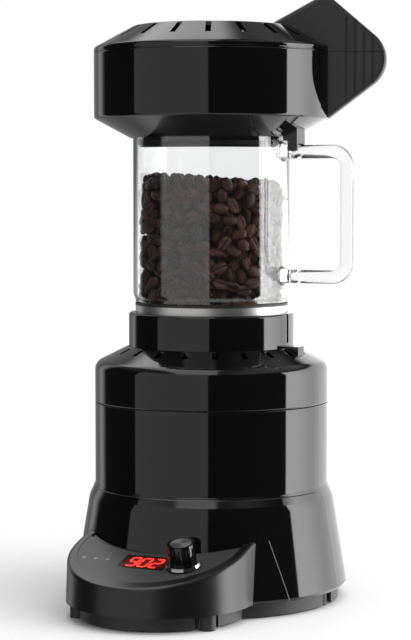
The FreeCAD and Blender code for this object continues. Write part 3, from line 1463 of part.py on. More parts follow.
def make_collector_handles():
    """The plate's upper half on the lid and its lower half on the bowl."""
    plate = make_plate()
    lid_space = turned("lid_space", [
        ("0", "lid_top + plate_play"),
        ("lid_flat_radius", "lid_top + plate_play"),
        ("bowl_radius + plate_play", "lid_edge + plate_play"),
        ("bowl_radius + plate_play", "bowl_seam"),
        ("0", "bowl_seam")])
    below = cylinder("below_seam", "2 * plate_tip", "bowl_seam + part_gap / 2", "0")
    above = cylinder("above_seam", "2 * plate_tip", "bowl_seam", "bowl_seam - part_gap / 2")
    bowl_space = cylinder("bowl_space", "bowl_radius + plate_play", "2 * bowl_seam", "0")
    lid_screws = [screw_hole(f"lid_plate_hole_{index}", seat="lid_boss_low", **polar(reach, "plate_angle"))
                  for index, reach in enumerate(lid_screw_spots())]
    bowl_screws = bowl_screw_tools("bowl_plate_hole", "screw_radius + screw_play", "0 - screw_play")
    node(cut("lid_handle", plate, [lid_space, below] + lid_screws), "lid_handle")
    node(cut("bowl_handle", plate, [bowl_space, above] + bowl_screws), "bowl_handle")
    screws = [fuse(f"bowl_screw_{index}", [shank, radial_rod(f"bowl_screw_head_{index}", "screw_head_radius",
                                                            "screw_head", "plate_angle",
                                                            "bowl_radius - bowl_wall - screw_head - seat_play",
                                                            f"bowl_screw_low + {index} * bowl_screw_pitch")])
              for index, shank in enumerate(bowl_screw_tools("bowl_shank", "screw_radius", "0 - screw_head"))]
    node(group("bowl_handle_screws", screws), "bowl_handle_screws")


def check():
    """Stop if any object failed or any piece has no sound solid."""
    doc.recompute()
    faults = [f"{thing.Name} failed: {thing.getStatusString()}" for thing in doc.Objects
              if "Invalid" in thing.State or "Error" in thing.State]
    faults += [f"{thing.Label} has no sound solid" for thing in NODES
               if thing.Shape.isNull() or not thing.Shape.isValid() or not thing.Shape.Solids]
    if faults:
        raise RuntimeError("; ".join(faults))


def write():
    """Write each piece to its own file."""
    os.makedirs("parts", exist_ok=True)
    for thing in NODES:
        thing.Shape.exportStep(f"parts/{thing.Label}.step")


make_lower_housing()
make_cord_gland()
make_body_shell()
make_top_housing()
make_neck()
make_bottom_cover()
make_feet()
make_cover_screws()
make_frame_screws()
make_motor()
make_rotor()
make_blower_case()
make_heater()
make_power_board()
make_panel()
make_selector()
make_chamber()
make_glass_handle()
make_bowl()
make_clip()
make_lid()
make_collector_handles()
check()
write()
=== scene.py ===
import json
import logging
import math
from dataclasses import dataclass, field
from enum import Enum
from typing import Any

import bmesh
import bpy
import numpy as np
from mathutils import Euler, Matrix, Vector


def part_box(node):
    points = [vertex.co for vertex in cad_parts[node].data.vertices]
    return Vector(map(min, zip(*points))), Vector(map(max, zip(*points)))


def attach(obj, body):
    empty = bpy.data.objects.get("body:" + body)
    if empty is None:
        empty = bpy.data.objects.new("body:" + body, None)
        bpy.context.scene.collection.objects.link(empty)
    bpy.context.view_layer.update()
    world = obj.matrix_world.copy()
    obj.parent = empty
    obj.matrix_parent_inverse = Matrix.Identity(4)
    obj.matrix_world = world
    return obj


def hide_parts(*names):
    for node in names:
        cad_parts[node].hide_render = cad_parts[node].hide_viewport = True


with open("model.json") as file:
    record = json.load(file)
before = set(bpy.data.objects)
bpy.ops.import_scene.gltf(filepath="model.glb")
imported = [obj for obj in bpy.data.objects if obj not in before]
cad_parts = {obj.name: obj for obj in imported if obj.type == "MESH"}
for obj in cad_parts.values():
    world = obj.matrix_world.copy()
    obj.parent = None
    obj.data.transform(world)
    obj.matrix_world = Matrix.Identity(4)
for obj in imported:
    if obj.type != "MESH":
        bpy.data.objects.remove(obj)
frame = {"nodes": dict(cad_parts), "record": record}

log = logging.getLogger("roaster")

Pair = tuple[float, float]
Triple = tuple[float, float, float]
Tone = tuple[float, float, float, float]

MM = 0.001
DEGREES = 180.0 / math.pi
GLOSS = {"colour": (0.0022, 0.0022, 0.0024), "rough": 0.055, "ripple": 0.01 * MM, "dust": 0.01}


class Body(Enum):
    """The rigid bodies that the pieces of this script ride on."""

    BASE = "base"
    CHAMBER = "roast_chamber"
    BOWL = "collector_bowl"


class Wire:
    """A node's output that takes part in Python arithmetic."""

    def __init__(self, bench: "Bench", socket: bpy.types.NodeSocket) -> None:
        """Keep the bench that adds nodes, and the socket."""
        self.bench = bench
        self.socket = socket

    def math(self, operation: str, *others: Any) -> "Wire":
        """Apply a Math node.

        Args:
            operation: The Math node's operation.
            others: Further operands, each a number or a Wire.

        Returns:
            The node's result.
        """
        return self.bench.node("Math", {"operation": operation}, 0, dict(enumerate((self, *others))))

    def __add__(self, other: Any) -> "Wire":
        """Sum."""
        return self.math("ADD", other)

    def __sub__(self, other: Any) -> "Wire":
        """Difference."""
        return self.math("SUBTRACT", other)

    def __mul__(self, other: Any) -> "Wire":
        """Product."""
        return self.math("MULTIPLY", other)

    def __rsub__(self, other: Any) -> "Wire":
        """Difference with the operands the other way round."""
        return self * -1.0 + other

    __radd__ = __add__
    __rmul__ = __mul__

    def smooth(self, low: float, high: float) -> "Wire":
        """Rise smoothly from 0 at low to 1 at high."""
        return self.bench.node("MapRange", {"interpolation_type": "SMOOTHSTEP"}, out="Result", Value=self,
                               From_Min=low, From_Max=high)

    def between(self, low: float, high: float, soft: float) -> "Wire":
        """Give 1 between low and high and 0 outside, with soft ends."""
        return self.smooth(low - soft, low + soft) * (1.0 - self.smooth(high - soft, high + soft))


class Bench:
    """Builds one node tree: a material's, a world's or a geometry modifier's."""

    def __init__(self, tree: bpy.types.NodeTree, prefix: str = "ShaderNode") -> None:
        """Start from an empty tree whose nodes' types begin with a prefix."""
        self.tree, self.prefix = tree, prefix
        tree.nodes.clear()

    def node(self, kind: str, settings: dict[str, Any] | None = None, out: str | int = 0,
             numbered: dict[int, Any] | None = None, **named: Any) -> Wire | None:
        """Add any node.

        Args:
            kind: The node's type, without the bench's prefix.
            settings: Properties to set before the sockets are used.
            out: The wanted output's name or number.
            numbered: The values or links of inputs that share a name, by number.
            named: The values or links of inputs by name, with underscores for spaces.

        Returns:
            The wanted output, or None for a node that ends the tree.
        """
        node = self.tree.nodes.new(self.prefix + kind)
        for key, setting in (settings or {}).items():
            setattr(node, key, setting)
        for key, item in [*named.items(), *(numbered or {}).items()]:
            socket = node.inputs[key.replace("_", " ") if isinstance(key, str) else key]
            if isinstance(item, Wire):
                self.tree.links.new(item.socket, socket)
            else:
                socket.default_value = item
        return Wire(self, node.outputs[out]) if node.outputs else None

    def split(self, vector: Wire) -> list[Wire]:
        """Give a vector's three numbers."""
        first = self.node("SeparateXYZ", Vector=vector)
        return [Wire(self, output) for output in first.socket.node.outputs]

    def axes(self, kind: str = "Object") -> list[Wire]:
        """Give one kind of coordinates as three numbers; those of the object are in metres."""
        return self.split(self.node("TexCoord", out=kind))

    def turned(self, turn: float, kind: str = "Object") -> tuple[Wire, Wire]:
        """Give how far along a level direction and how far to its left the coordinates lie."""
        x, y, _ = self.axes(kind)
        return x * math.cos(turn) + y * math.sin(turn), y * math.cos(turn) - x * math.sin(turn)

    def noise(self, scale: float, detail: float = 3.0, vector: Wire | None = None) -> Wire:
        """Give noise from 0 to 1.

        Args:
            scale: How many features to a metre.
            detail: How many finer layers are added.
            vector: Where to read the noise, or None for the object coordinates.

        Returns:
            The noise.
        """
        place = vector or self.node("TexCoord", out="Object")
        return self.node("TexNoise", out=0, Vector=place, Scale=scale, Detail=detail)

    def blend(self, share: Any, first: Any, second: Any) -> Wire:
        """Mix two colours by a share."""
        return self.node("Mix", {"data_type": "RGBA"}, 2, {0: share, 6: first, 7: second})

    def cover(self, tone: Any, rough: Any, relief: Wire | None = None, depth: float = 1.0,
              **others: Any) -> None:
        """Add the shader that most finishes use, and make it the material's surface.

        Args:
            tone: The colour.
            rough: The roughness.
            relief: The height of the bumps, or None for a flat finish.
            depth: How many metres a height of 1 stands for.
            others: The shader's other inputs, as node takes them.
        """
        if relief is not None:
            others["Normal"] = self.node("Bump", out="Normal", Height=relief, Distance=depth, Strength=1.0)
        shader = self.node("BsdfPrincipled", Base_Color=tone, Roughness=rough, **others)
        self.node("OutputMaterial", Surface=shader)


def rgba(colour: Triple, share: float = 1.0, lift: float = 0.0) -> Tone:
    """Give a colour times a share, plus a lift, as an opaque colour."""
    return (*(part * share + lift for part in colour), 1.0)


def grey(level: float) -> Tone:
    """Give an opaque grey."""
    return (level, level, level, 1.0)


@dataclass(frozen=True)
class Finish:
    """A surface finish; build makes its material."""

    name: str

    def build(self) -> bpy.types.Material:
        """Make the material.

        Returns:
            The new material.
        """
        material = bpy.data.materials.new(self.name)
        material.use_nodes = True
        self.shade(Bench(material.node_tree))
        return material

    def shade(self, bench: Bench) -> None:
        """Make the surface; each finish has its own."""
        raise NotImplementedError


@dataclass(frozen=True)
class Moulded(Finish):
    """Moulded plastic or rubber: flow marks, fine grain and a little dust."""

    colour: Triple
    rough: float
    grain: float = 0.0
    grain_scale: float = 2200.0
    ripple: float = 0.0
    dust: float = 0.02
    dust_tone: float = 0.25
    dust_range: Pair = (0.66, 0.78)
    rough_least: float = 0.8
    rough_spread: float = 0.35

    def relief(self, bench: Bench) -> Wire:
        """Give the height of the grain and of a slow ripple, in metres."""
        return bench.noise(self.grain_scale, 2.0) * self.grain + bench.noise(55.0, 1.0) * self.ripple

    def mark(self, bench: Bench, tone: Wire) -> Wire:
        """Change the tone where a moulding paints shade or a highlight on itself; a plain moulding paints
        none.
        """
        return tone

    def shade(self, bench: Bench) -> None:
        """Vary the tone and roughness a little, and add the relief.

        Args:
            bench: Where nodes go.
        """
        flow = bench.noise(14.0, 4.0)
        specks = bench.noise(900.0, 2.0).smooth(*self.dust_range)
        tone = bench.blend(flow, rgba(self.colour, 0.9), rgba(self.colour, 1.12, 0.0008))
        tone = bench.blend(specks * self.dust, tone, grey(self.dust_tone))
        rough = flow * (self.rough * self.rough_spread) + self.rough * self.rough_least + specks * self.dust
        bench.cover(self.mark(bench, tone), rough, self.relief(bench), IOR=1.5)


@dataclass(frozen=True)
class Seamed(Moulded):
    """A moulding with a seam that runs level around it, and maybe an upright parting line."""

    seam: float = 0.0
    seam_width: float = 0.9 * MM
    seam_depth: float = 0.5 * MM
    seam_soft: float = 0.6
    parting: float | None = None
    line_width: float = 0.2 * MM
    line_soft: float = 0.1 * MM
    line_lean: float = 0.31
    line_middle: float = 31.0 * MM
    line_end: Pair = (47.0 * MM, 48.0 * MM)
    line_share: float = 0.6
    line_highlight_tone: float = 0.2
    ahead_fade: float = 10.0 * MM

    def relief(self, bench: Bench) -> Wire:
        """Sink the seam and the parting line below the grain.

        Args:
            bench: Where nodes go.

        Returns:
            The height, in metres.
        """
        _, _, z = bench.axes()
        half = self.seam_width / 2
        groove = z.between(self.seam - half, self.seam + half, half * self.seam_soft)
        height = super().relief(bench) - groove * self.seam_depth
        if self.parting is None:
            return height
        return height - self.line(bench) * (self.seam_depth * self.line_share)

    def mark(self, bench: Bench, tone: Wire) -> Wire:
        """Paint a highlight along the parting line, as a paler grey stripe.

        Args:
            bench: Where nodes go.
            tone: The moulding's tone.

        Returns:
            The tone with the line.
        """
        if self.parting is None:
            return tone
        # painted highlight: the parting line is drawn in a paler grey, standing in for light caught by its
        # edge
        return bench.blend(self.line(bench) * self.line_share, tone, grey(self.line_highlight_tone))

    def line(self, bench: Bench) -> Wire:
        """Find the parting line.

        Args:
            bench: Where nodes go.

        Returns:
            1 along the line and 0 elsewhere.
        """
        _, _, z = bench.axes()
        ahead, left = bench.turned(self.parting)
        beside = left + (z - self.line_middle) * self.line_lean
        below = 1.0 - z.smooth(*self.line_end)
        across = beside.between(-self.line_width, self.line_width, self.line_soft)
        return across * ahead.smooth(0.0, self.ahead_fade) * below


@dataclass(frozen=True)
class Ribbed(Moulded):
    """A flat upright plate with finger grooves, darker in their floors."""

    turn: float = 0.0
    half: float = 7.0 * MM
    groove_floor: float = 2.6 * MM
    groove_edge: float = 0.35 * MM
    soft: float = 0.2 * MM
    shadow: float = 0.75
    shadow_tone: float = 0.004

    def mark(self, bench: Bench, tone: Wire) -> Wire:
        """Darken what lies below the plate's two faces.

        Args:
            bench: Where nodes go.
            tone: The moulding's tone.

        Returns:
            The tone with the grooves.
        """
        depth = self.half - bench.turned(self.turn)[1].math("ABSOLUTE")
        sunk = depth.between(self.groove_edge, self.groove_floor, self.soft)
        return bench.blend(sunk * self.shadow, tone, grey(self.shadow_tone))


@dataclass(frozen=True)
class Brushed(Finish):
    """Metal with brush lines that run around the vertical axis."""

    colour: Triple
    rough: float
    line_depth: float = 0.012 * MM
    line_pitch: float = 5200.0

    def shade(self, bench: Bench) -> None:
        """Stretch noise along the brush lines.

        Args:
            bench: Where nodes go.
        """
        x, y, z = bench.axes()
        angle = y.math("ARCTAN2", x)
        lines = bench.noise(1.0, 4.0, bench.node("CombineXYZ", X=angle * 2.0, Z=z * self.line_pitch))
        stain = bench.noise(30.0)
        tone = bench.blend(lines * 0.7 + stain * 0.3, rgba(self.colour, 0.82), rgba(self.colour))
        rough = lines * 0.16 + self.rough + stain * 0.05
        bench.cover(tone, rough, lines, self.line_depth, Metallic=1.0)


@dataclass(frozen=True)
class Metal(Finish):
    """Plain metal with faint handling marks."""

    colour: Triple
    rough: float
    wear: float = 0.08
    scratch_scale: Triple = (900.0, 120.0, 900.0)
    scratch_turn: Triple = (0.3, 0.2, 0.7)
    scratch_depth: float = 0.004 * MM

    def shade(self, bench: Bench) -> None:
        """Vary the roughness with faint scratches and stains.

        Args:
            bench: Where nodes go.
        """
        stain = bench.noise(60.0, 4.0)
        place = bench.node("Mapping", Vector=bench.node("TexCoord", out="Object"), Scale=self.scratch_scale,
                           Rotation=self.scratch_turn)
        scratch = bench.noise(1.0, 2.0, place)
        tone = bench.blend(stain, rgba(self.colour, 0.86), rgba(self.colour))
        rough = self.rough + stain * self.wear + scratch.smooth(0.6, 0.75) * self.wear
        bench.cover(tone, rough, scratch, self.scratch_depth, Metallic=1.0)


@dataclass(frozen=True)
class Spun(Finish):
    """Metal spun about an upright axis, with fine rings and a painted highlight in two fan shapes, darker
    between them.
    """

    colour: Triple
    centre: Pair
    ring_scale: float = 9000.0
    ring_depth: float = 0.02 * MM
    highlight_fan_turn: float = 0.9

    def shade(self, bench: Bench) -> None:
        """Cut fine rings about the axis, and paint the highlight in two fan shapes.

        Args:
            bench: Where nodes go.
        """
        x, y, _ = bench.axes()
        across = x - self.centre[0]
        along = y - self.centre[1]
        radius = (across * across + along * along).math("SQRT")
        # painted highlight: the tone is lighter in two fan shapes and darker between them
        highlight_fans = (along.math("ARCTAN2", across) * 2.0 + self.highlight_fan_turn).math("COSINE") * 0.5 + 0.5
        rings = bench.noise(1.0, 3.0, bench.node("CombineXYZ", X=radius * self.ring_scale))
        tone = bench.blend(highlight_fans, rgba(self.colour, 0.38), rgba(self.colour))
        bench.cover(tone, rings * 0.15 + 0.22, rings, self.ring_depth, Metallic=1.0)


@dataclass(frozen=True)
class Glass(Finish):
    """Clear glass with the slight ripple of drawn tube."""

    tint: Triple = (0.985, 0.99, 0.988)
    edge_shade_tone: Triple = (0.62, 0.63, 0.63)
    edge_shade_share: float = 0.8
    edge_shade_range: Pair = (0.72, 0.99)
    ripple_depth: float = 0.06 * MM

    def shade(self, bench: Bench) -> None:
        """Let light through, with a slow ripple and painted shade: greyer where the glass is seen edge on.

        Args:
            bench: Where nodes go.
        """
        tone = bench.blend(bench.noise(12.0, 2.0), rgba(self.tint, 0.995), rgba(self.tint))
        # painted shade: the glass is tinted grey where it is seen edge on
        edge = bench.node("LayerWeight", out="Facing", Blend=0.5).smooth(*self.edge_shade_range)
        tone = bench.blend(edge * self.edge_shade_share, tone, rgba(self.edge_shade_tone))
        bench.cover(tone, 0.0, bench.noise(26.0, 1.0), self.ripple_depth, IOR=1.56, Transmission_Weight=1.0)


@dataclass(frozen=True)
class Glow(Finish):
    """A lit part of the display."""

    colour: Triple
    strength: float
    unlit: Triple = (0.3, 0.01, 0.01)

    def shade(self, bench: Bench) -> None:
        """Glow, a little unevenly."""
        tone = bench.blend(bench.noise(700.0, 2.0), rgba(self.colour, 0.8), rgba(self.colour))
        bench.cover(rgba(self.unlit), 0.35, Emission_Color=tone, Emission_Strength=self.strength)


@dataclass(frozen=True)
class SmokedLens(Finish):
    """A dark red lens that glows faintly around the lit digits."""

    centre: Pair
    reach: Pair
    fade: Pair = (0.55, 0.4)
    smoke: Triple = (0.012, 0.004, 0.004)
    dark: Triple = (0.004, 0.0, 0.0)
    lit: Triple = (0.13, 0.004, 0.003)

    def shade(self, bench: Bench) -> None:
        """Fade the glow out from the middle of the lens.

        Args:
            bench: Where nodes go.
        """
        glow = 1.0
        for axis, centre, reach, fade in zip(bench.axes(), self.centre, self.reach, self.fade):
            glow = (axis - centre).math("ABSOLUTE").smooth(reach, reach * fade) * glow
        light = bench.blend(glow, rgba(self.dark), rgba(self.lit))
        film = bench.noise(500.0, 2.0) * 0.05 + 0.16
        bench.cover(rgba(self.smoke), film, Emission_Color=light, Emission_Strength=1.0)


@dataclass(frozen=True)
class Bean(Finish):
    """Roasted coffee bean: brown skin with darker patches, and painted shade in the crease."""

    dark: Triple = (0.07, 0.028, 0.0185)
    pale: Triple = (0.21, 0.092, 0.064)
    patch_tone: Triple = (0.045, 0.018, 0.012)
    crease_shade_tone: Triple = (0.006, 0.0028, 0.002)
    crease_shade_edge: Pair = (0.04, 0.13)
    wrinkle_depth: float = 0.12 * MM

    def shade(self, bench: Bench) -> None:
        """Read each bean's own tone and its crease from attributes, and paint shade into the crease.

        Args:
            bench: Where nodes go.
        """
        tone = bench.node("Attribute", {"attribute_name": "tone"}, out="Fac")
        side = bench.split(bench.node("UVMap", {"uv_map": "crease"}))[0]
        patch = bench.noise(260.0, 4.0)
        skin = bench.blend(tone, rgba(self.dark), rgba(self.pale))
        skin = bench.blend(patch.smooth(0.35, 0.75) * 0.5, skin, rgba(self.patch_tone))
        # painted shade: the crease is darkened toward its middle
        skin = bench.blend((1.0 - side.smooth(*self.crease_shade_edge)) * 0.9, skin, rgba(self.crease_shade_tone))
        bench.cover(skin, patch * 0.14 + 0.26, bench.noise(900.0), self.wrinkle_depth, IOR=1.3,
                    Specular_IOR_Level=0.5)


@dataclass(frozen=True)
class Board(Finish):
    """A circuit board: green coat over a grid of tracks."""

    coat: Triple = (0.008, 0.06, 0.022)
    track: Triple = (0.03, 0.16, 0.06)
    track_scale: float = 260.0
    track_depth: float = 0.03 * MM

    def shade(self, bench: Bench) -> None:
        """Draw tracks as noise cut along a grid.

        Args:
            bench: Where nodes go.
        """
        x, y, z = bench.axes()
        place = bench.node("CombineXYZ", X=x * self.track_scale, Y=(y + z) * self.track_scale)
        tracks = bench.noise(1.0, 0.0, place).between(0.47, 0.53, 0.01)
        tone = bench.blend(tracks, rgba(self.coat), rgba(self.track))
        bench.cover(tone, tracks * 0.1 + 0.3, tracks, self.track_depth)


@dataclass(frozen=True)
class Layered(Finish):
    """Pressed mica or wound wire: fine layers over height."""

    low: Triple
    high: Triple
    pitch: float
    metallic: float
    depth: float = 0.1 * MM

    def shade(self, bench: Bench) -> None:
        """Vary the tone with height and a little noise.

        Args:
            bench: Where nodes go.
        """
        bands = (bench.axes()[2] * self.pitch).math("SINE") * 0.5 + 0.5
        mix = bands * 0.7 + bench.noise(120.0, 4.0) * 0.3
        tone = bench.blend(mix, rgba(self.low), rgba(self.high))
        bench.cover(tone, 0.6 - mix * 0.2, mix, self.depth, Metallic=self.metallic)


@dataclass(frozen=True)
class Paper(Finish):
    """A pale floor that keeps the shadow and turns white to the camera away from the object."""

    near: float = 0.15
    far: float = 0.42

    def shade(self, bench: Bench) -> None:
        """Mix paper and plain white by distance.

        Args:
            bench: Where nodes go.
        """
        tone = bench.blend(bench.noise(3.0, 2.0), grey(0.9), grey(0.94))
        paper = bench.node("BsdfPrincipled", Base_Color=tone, Roughness=0.7)
        white = bench.node("Emission", Color=grey(1.0), Strength=1.0)
        x, y, _ = bench.axes()
        away = (x * x + y * y).math("SQRT").smooth(self.near, self.far)
        seen = bench.node("LightPath", out="Is Camera Ray")
        mix = bench.node("MixShader", numbered={0: away * seen, 1: paper, 2: white})
        bench.node("OutputMaterial", Surface=mix)


@dataclass
class Paint:
    """The finishes by the record's slot names, each made into a material once."""

    materials: dict[str, bpy.types.Material] = field(init=False)
    digits: bpy.types.Material = field(init=False)
    bean: bpy.types.Material = field(init=False)

    def __post_init__(self) -> None:
        """Make every material."""
        low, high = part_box("display_window")
        window, reach, knob = middle("display_window").xy, ((high - low) / 2).xy, middle("knob_disc").xy
        finishes = (
            Moulded("gloss_black", **GLOSS),
            Moulded("satin_black", (0.012, 0.012, 0.0125), 0.3, grain=0.012 * MM),
            Moulded("matte_black", (0.014, 0.014, 0.0145), 0.55, grain=0.02 * MM),
            Moulded("overlay_grey", (0.033, 0.033, 0.034), 0.42, grain=0.008 * MM, grain_scale=3000.0),
            SmokedLens("display_lens", tuple(window), tuple(reach)),
            Moulded("light_lens", (0.16, 0.16, 0.155), 0.3, grain=0.01 * MM),
            Board("board_green"),
            Layered("mica", (0.36, 0.3, 0.22), (0.62, 0.56, 0.46), 9000.0, 0.0),
            Moulded("magnet_grey", (0.06, 0.06, 0.065), 0.5, grain=0.02 * MM),
            Metal("steel", (0.56, 0.56, 0.57), 0.28),
            Layered("heater_wire", (0.2, 0.17, 0.15), (0.5, 0.46, 0.42), 5200.0, 1.0),
            Metal("brass", (0.68, 0.5, 0.24), 0.32),
            Layered("copper_winding", (0.22, 0.08, 0.03), (0.62, 0.28, 0.12), 14000.0, 0.8),
            Spun("aluminium", (0.92, 0.92, 0.92), tuple(knob)),
            Metal("chrome", (0.42, 0.42, 0.42), 0.12),
            Brushed("brushed_ring", (0.6, 0.6, 0.59), 0.26),
            Glass("clear_glass"),
            Moulded("black_silicone", (0.009, 0.009, 0.009), 0.5, grain=0.01 * MM),
            Moulded("foot_rubber", (0.016, 0.016, 0.016), 0.62, grain=0.03 * MM),
        )
        self.materials = {finish.name: finish.build() for finish in finishes}
        self.digits = Glow("lit_digits", (1.0, 0.035, 0.02), 2.6).build()
        self.bean = Bean("roasted_bean").build()

    def dress_nodes(self) -> None:
        """Give every CAD node the material of its slot."""
        for entry in frame["record"]["subparts"]:
            self.dress(self.materials[entry["material_slot"]], entry["node"])

    def dress(self, material: bpy.types.Material, *names: str) -> None:
        """Give CAD nodes a material.

        Args:
            material: The material.
            names: The nodes' names.
        """
        for name in names:
            slots = frame["nodes"][name].data.materials
            slots.clear()
            slots.append(material)


def add_object(name: str, content: Any) -> bpy.types.Object:
    """Add an object to the scene.

    Args:
        name: Its name.
        content: Its mesh, light or camera.

    Returns:
        The new object.
    """
    thing = bpy.data.objects.new(name, content)
    bpy.context.scene.collection.objects.link(thing)
    return thing


def place_piece(name: str, mesh: bpy.types.Mesh, body: Body, material: bpy.types.Material,
                replaced: tuple[str, ...] = ()) -> None:
    """Add a finished mesh to the object.

    Args:
        name: The piece's name.
        mesh: Its mesh, in the object's frame.
        body: The body that it rides on.
        material: Its material.
        replaced: The CAD nodes that it stands for.
    """
    mesh.materials.clear()
    mesh.materials.append(material)
    piece = add_object(name, mesh)
    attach(piece, body.value)
    if replaced:
        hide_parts(*replaced)
    log.info("%s rides on %s with %d faces", name, body.value, len(mesh.polygons))


def middle(node: str) -> Vector:
    """Give the middle of a node's box."""
    low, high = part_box(node)
    return (low + high) / 2


def seen_from(azimuth: float, beside: float, ahead: float, height: float) -> Vector:
    """Give the place that lies so far to the camera's right, toward it and up."""
    return Matrix.Rotation(azimuth, 3, "Z") @ Vector((beside, -ahead, height))


def ease(share: float) -> float:
    """Ease from 0 to 1 with level ends."""
    return share * share * (3 - 2 * share)


def arc(centre: Pair, radius: float, start: float, end: float, steps: int = 10) -> list[Pair]:
    """Give points along an arc in an outline's plane.

    Args:
        centre: The arc's centre.
        radius: Its radius.
        start: Its first angle, in degrees.
        end: Its last angle, in degrees.
        steps: How many steps it has.

    Returns:
        The points, both ends included.
    """
    turns = [math.radians(start + (end - start) * step / steps) for step in range(steps + 1)]
    return [(centre[0] + radius * math.cos(turn), centre[1] + radius * math.sin(turn)) for turn in turns]


def build_mesh(name: str, blocks: list[list[list[Any]]], closed: bool = False, capped: bool = False,
               smooth: bool = True) -> bpy.types.Mesh:
    """Join rows of points into a mesh whose faces look outward.

    Args:
        name: The mesh's name.
        blocks: Separate blocks, each of rows with as many points; a row of one point is a tip.
        closed: Whether a block's last row joins its first.
        capped: Whether its first and last rows are filled.
        smooth: Whether all faces but the filled rows are smooth.

    Returns:
        The mesh.
    """
    shape = bmesh.new()
    for rows in blocks:
        rings = [[shape.verts.new(spot) for spot in row] for row in rows]
        sides = max(len(ring) for ring in rings)
        for ring, following in zip(rings, rings[1:] + (rings[:1] if closed else [])):
            for side in range(sides):
                after = (side + 1) % sides
                corners = (ring[side % len(ring)], ring[after % len(ring)],
                           following[after % len(following)], following[side % len(following)])
                shape.faces.new(list(dict.fromkeys(corners)))
        if capped:
            shape.faces.new(rings[-1])
            shape.faces.new(rings[0][::-1])
    bmesh.ops.recalc_face_normals(shape, faces=shape.faces)
    for face in shape.faces:
        face.smooth = smooth and len(face.verts) < sides
    mesh = bpy.data.meshes.new(name)
    shape.to_mesh(mesh)
    shape.free()
    return mesh


def sweep(name: str, path: list[Pair], radii: list[float], sides: int = 28) -> bpy.types.Mesh:
    """Sweep a circle along a path in the XZ plane.

    Args:
        name: The mesh's name.
        path: X and Z of each point.
        radii: The circle's radius at each point.
        sides: How many sides the circle has.

    Returns:
        A closed mesh.
    """
    rows = []
    for index, (x, z) in enumerate(path):
        before, after = path[max(index - 1, 0)], path[min(index + 1, len(path) - 1)]
        along = Vector((after[0] - before[0], 0.0, after[1] - before[1])).normalized()
        out, beside = Vector((-along.z, 0.0, along.x)), Vector((0.0, 1.0, 0.0))
        turns = (2 * math.pi * side / sides for side in range(sides))
        rows.append([Vector((x, 0.0, z)) + radii[index] * (math.cos(turn) * out + math.sin(turn) * beside)
                     for turn in turns])
    return build_mesh(name, [rows], capped=True)


@dataclass
class BaseHousing:
    """The skirt, the shell above it and its top, with the seams between them."""

    paint: Paint
    shell_gap: float = 0.2 * MM
    skirt_lip: float = 1.2 * MM
    seam_depth: float = 0.2 * MM
    parting: float = math.radians(-35.9)
    console_tone: Triple = (0.004, 0.004, 0.0042)
    console_rough: float = 0.3

    def build(self) -> None:
        """Dress the mouldings that meet at a seam."""
        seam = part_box("top_housing")[0].z - self.shell_gap / 2
        self.paint.dress(Seamed("shell_black", **GLOSS, seam=seam).build(), "body_shell", "top_housing")
        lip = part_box("lower_housing")[1].z - self.skirt_lip
        skirt = Seamed("skirt_black", **GLOSS, seam=lip, seam_depth=self.seam_depth, parting=self.parting)
        self.paint.dress(skirt.build(), "lower_housing")
        deck = Moulded("console_black", self.console_tone, self.console_rough, ripple=0.02 * MM, dust=0.01)
        self.paint.dress(deck.build(), "console_housing")


@dataclass
class ChaffCollector:
    """The bowl, its lid and the upright handle plate in two halves."""

    paint: Paint
    gap: float = 0.2 * MM
    seam_width: float = 1.1 * MM
    seam_depth: float = 0.2 * MM
    plate_colour: Triple = (0.016, 0.016, 0.0165)
    plate_rough: float = 0.42
    plate_turn: float = math.radians(17.0)
    rib_start: float = 78.0 * MM
    rib_end: float = 106.0 * MM
    rib_half: float = 4.6 * MM
    rib_root: float = 0.6 * MM
    rib_rise: float = 0.28 * MM

    def build(self) -> None:
        """Dress the bowl, the lid and the plate, and add the rib between the plate's halves."""
        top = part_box("bowl_handle")[1].z
        wall = Seamed("collector_black", **GLOSS, seam=top + self.gap / 2, seam_width=self.seam_width,
                      seam_depth=self.seam_depth)
        self.paint.dress(wall.build(), "collector_bowl", "collector_lid")
        plate = Ribbed("plate_black", self.plate_colour, self.plate_rough, grain=0.01 * MM,
                       turn=self.plate_turn).build()
        self.paint.dress(plate, "bowl_handle", "lid_handle")
        place_piece("plate_rib", self.rib(top), Body.BOWL, plate)

    def rib(self, top: float) -> bpy.types.Mesh:
        """Close the gap between the plate's halves with a low rib on the lower one.

        Args:
            top: The height of the lower half's top.

        Returns:
            The rib's mesh.
        """
        outline = arc((self.rib_end, 0.0), self.rib_half, -90, 90, 12)
        outline += arc((self.rib_start, 0.0), self.rib_half, 90, 270, 12)
        heights = (top - self.rib_root, top + self.rib_rise)
        rows = [[(x, y, height) for x, y in outline] for height in heights]
        mesh = build_mesh("plate_rib", [rows], capped=True, smooth=False)
        mesh.transform(Matrix.Rotation(self.plate_turn, 4, "Z"))
        return mesh


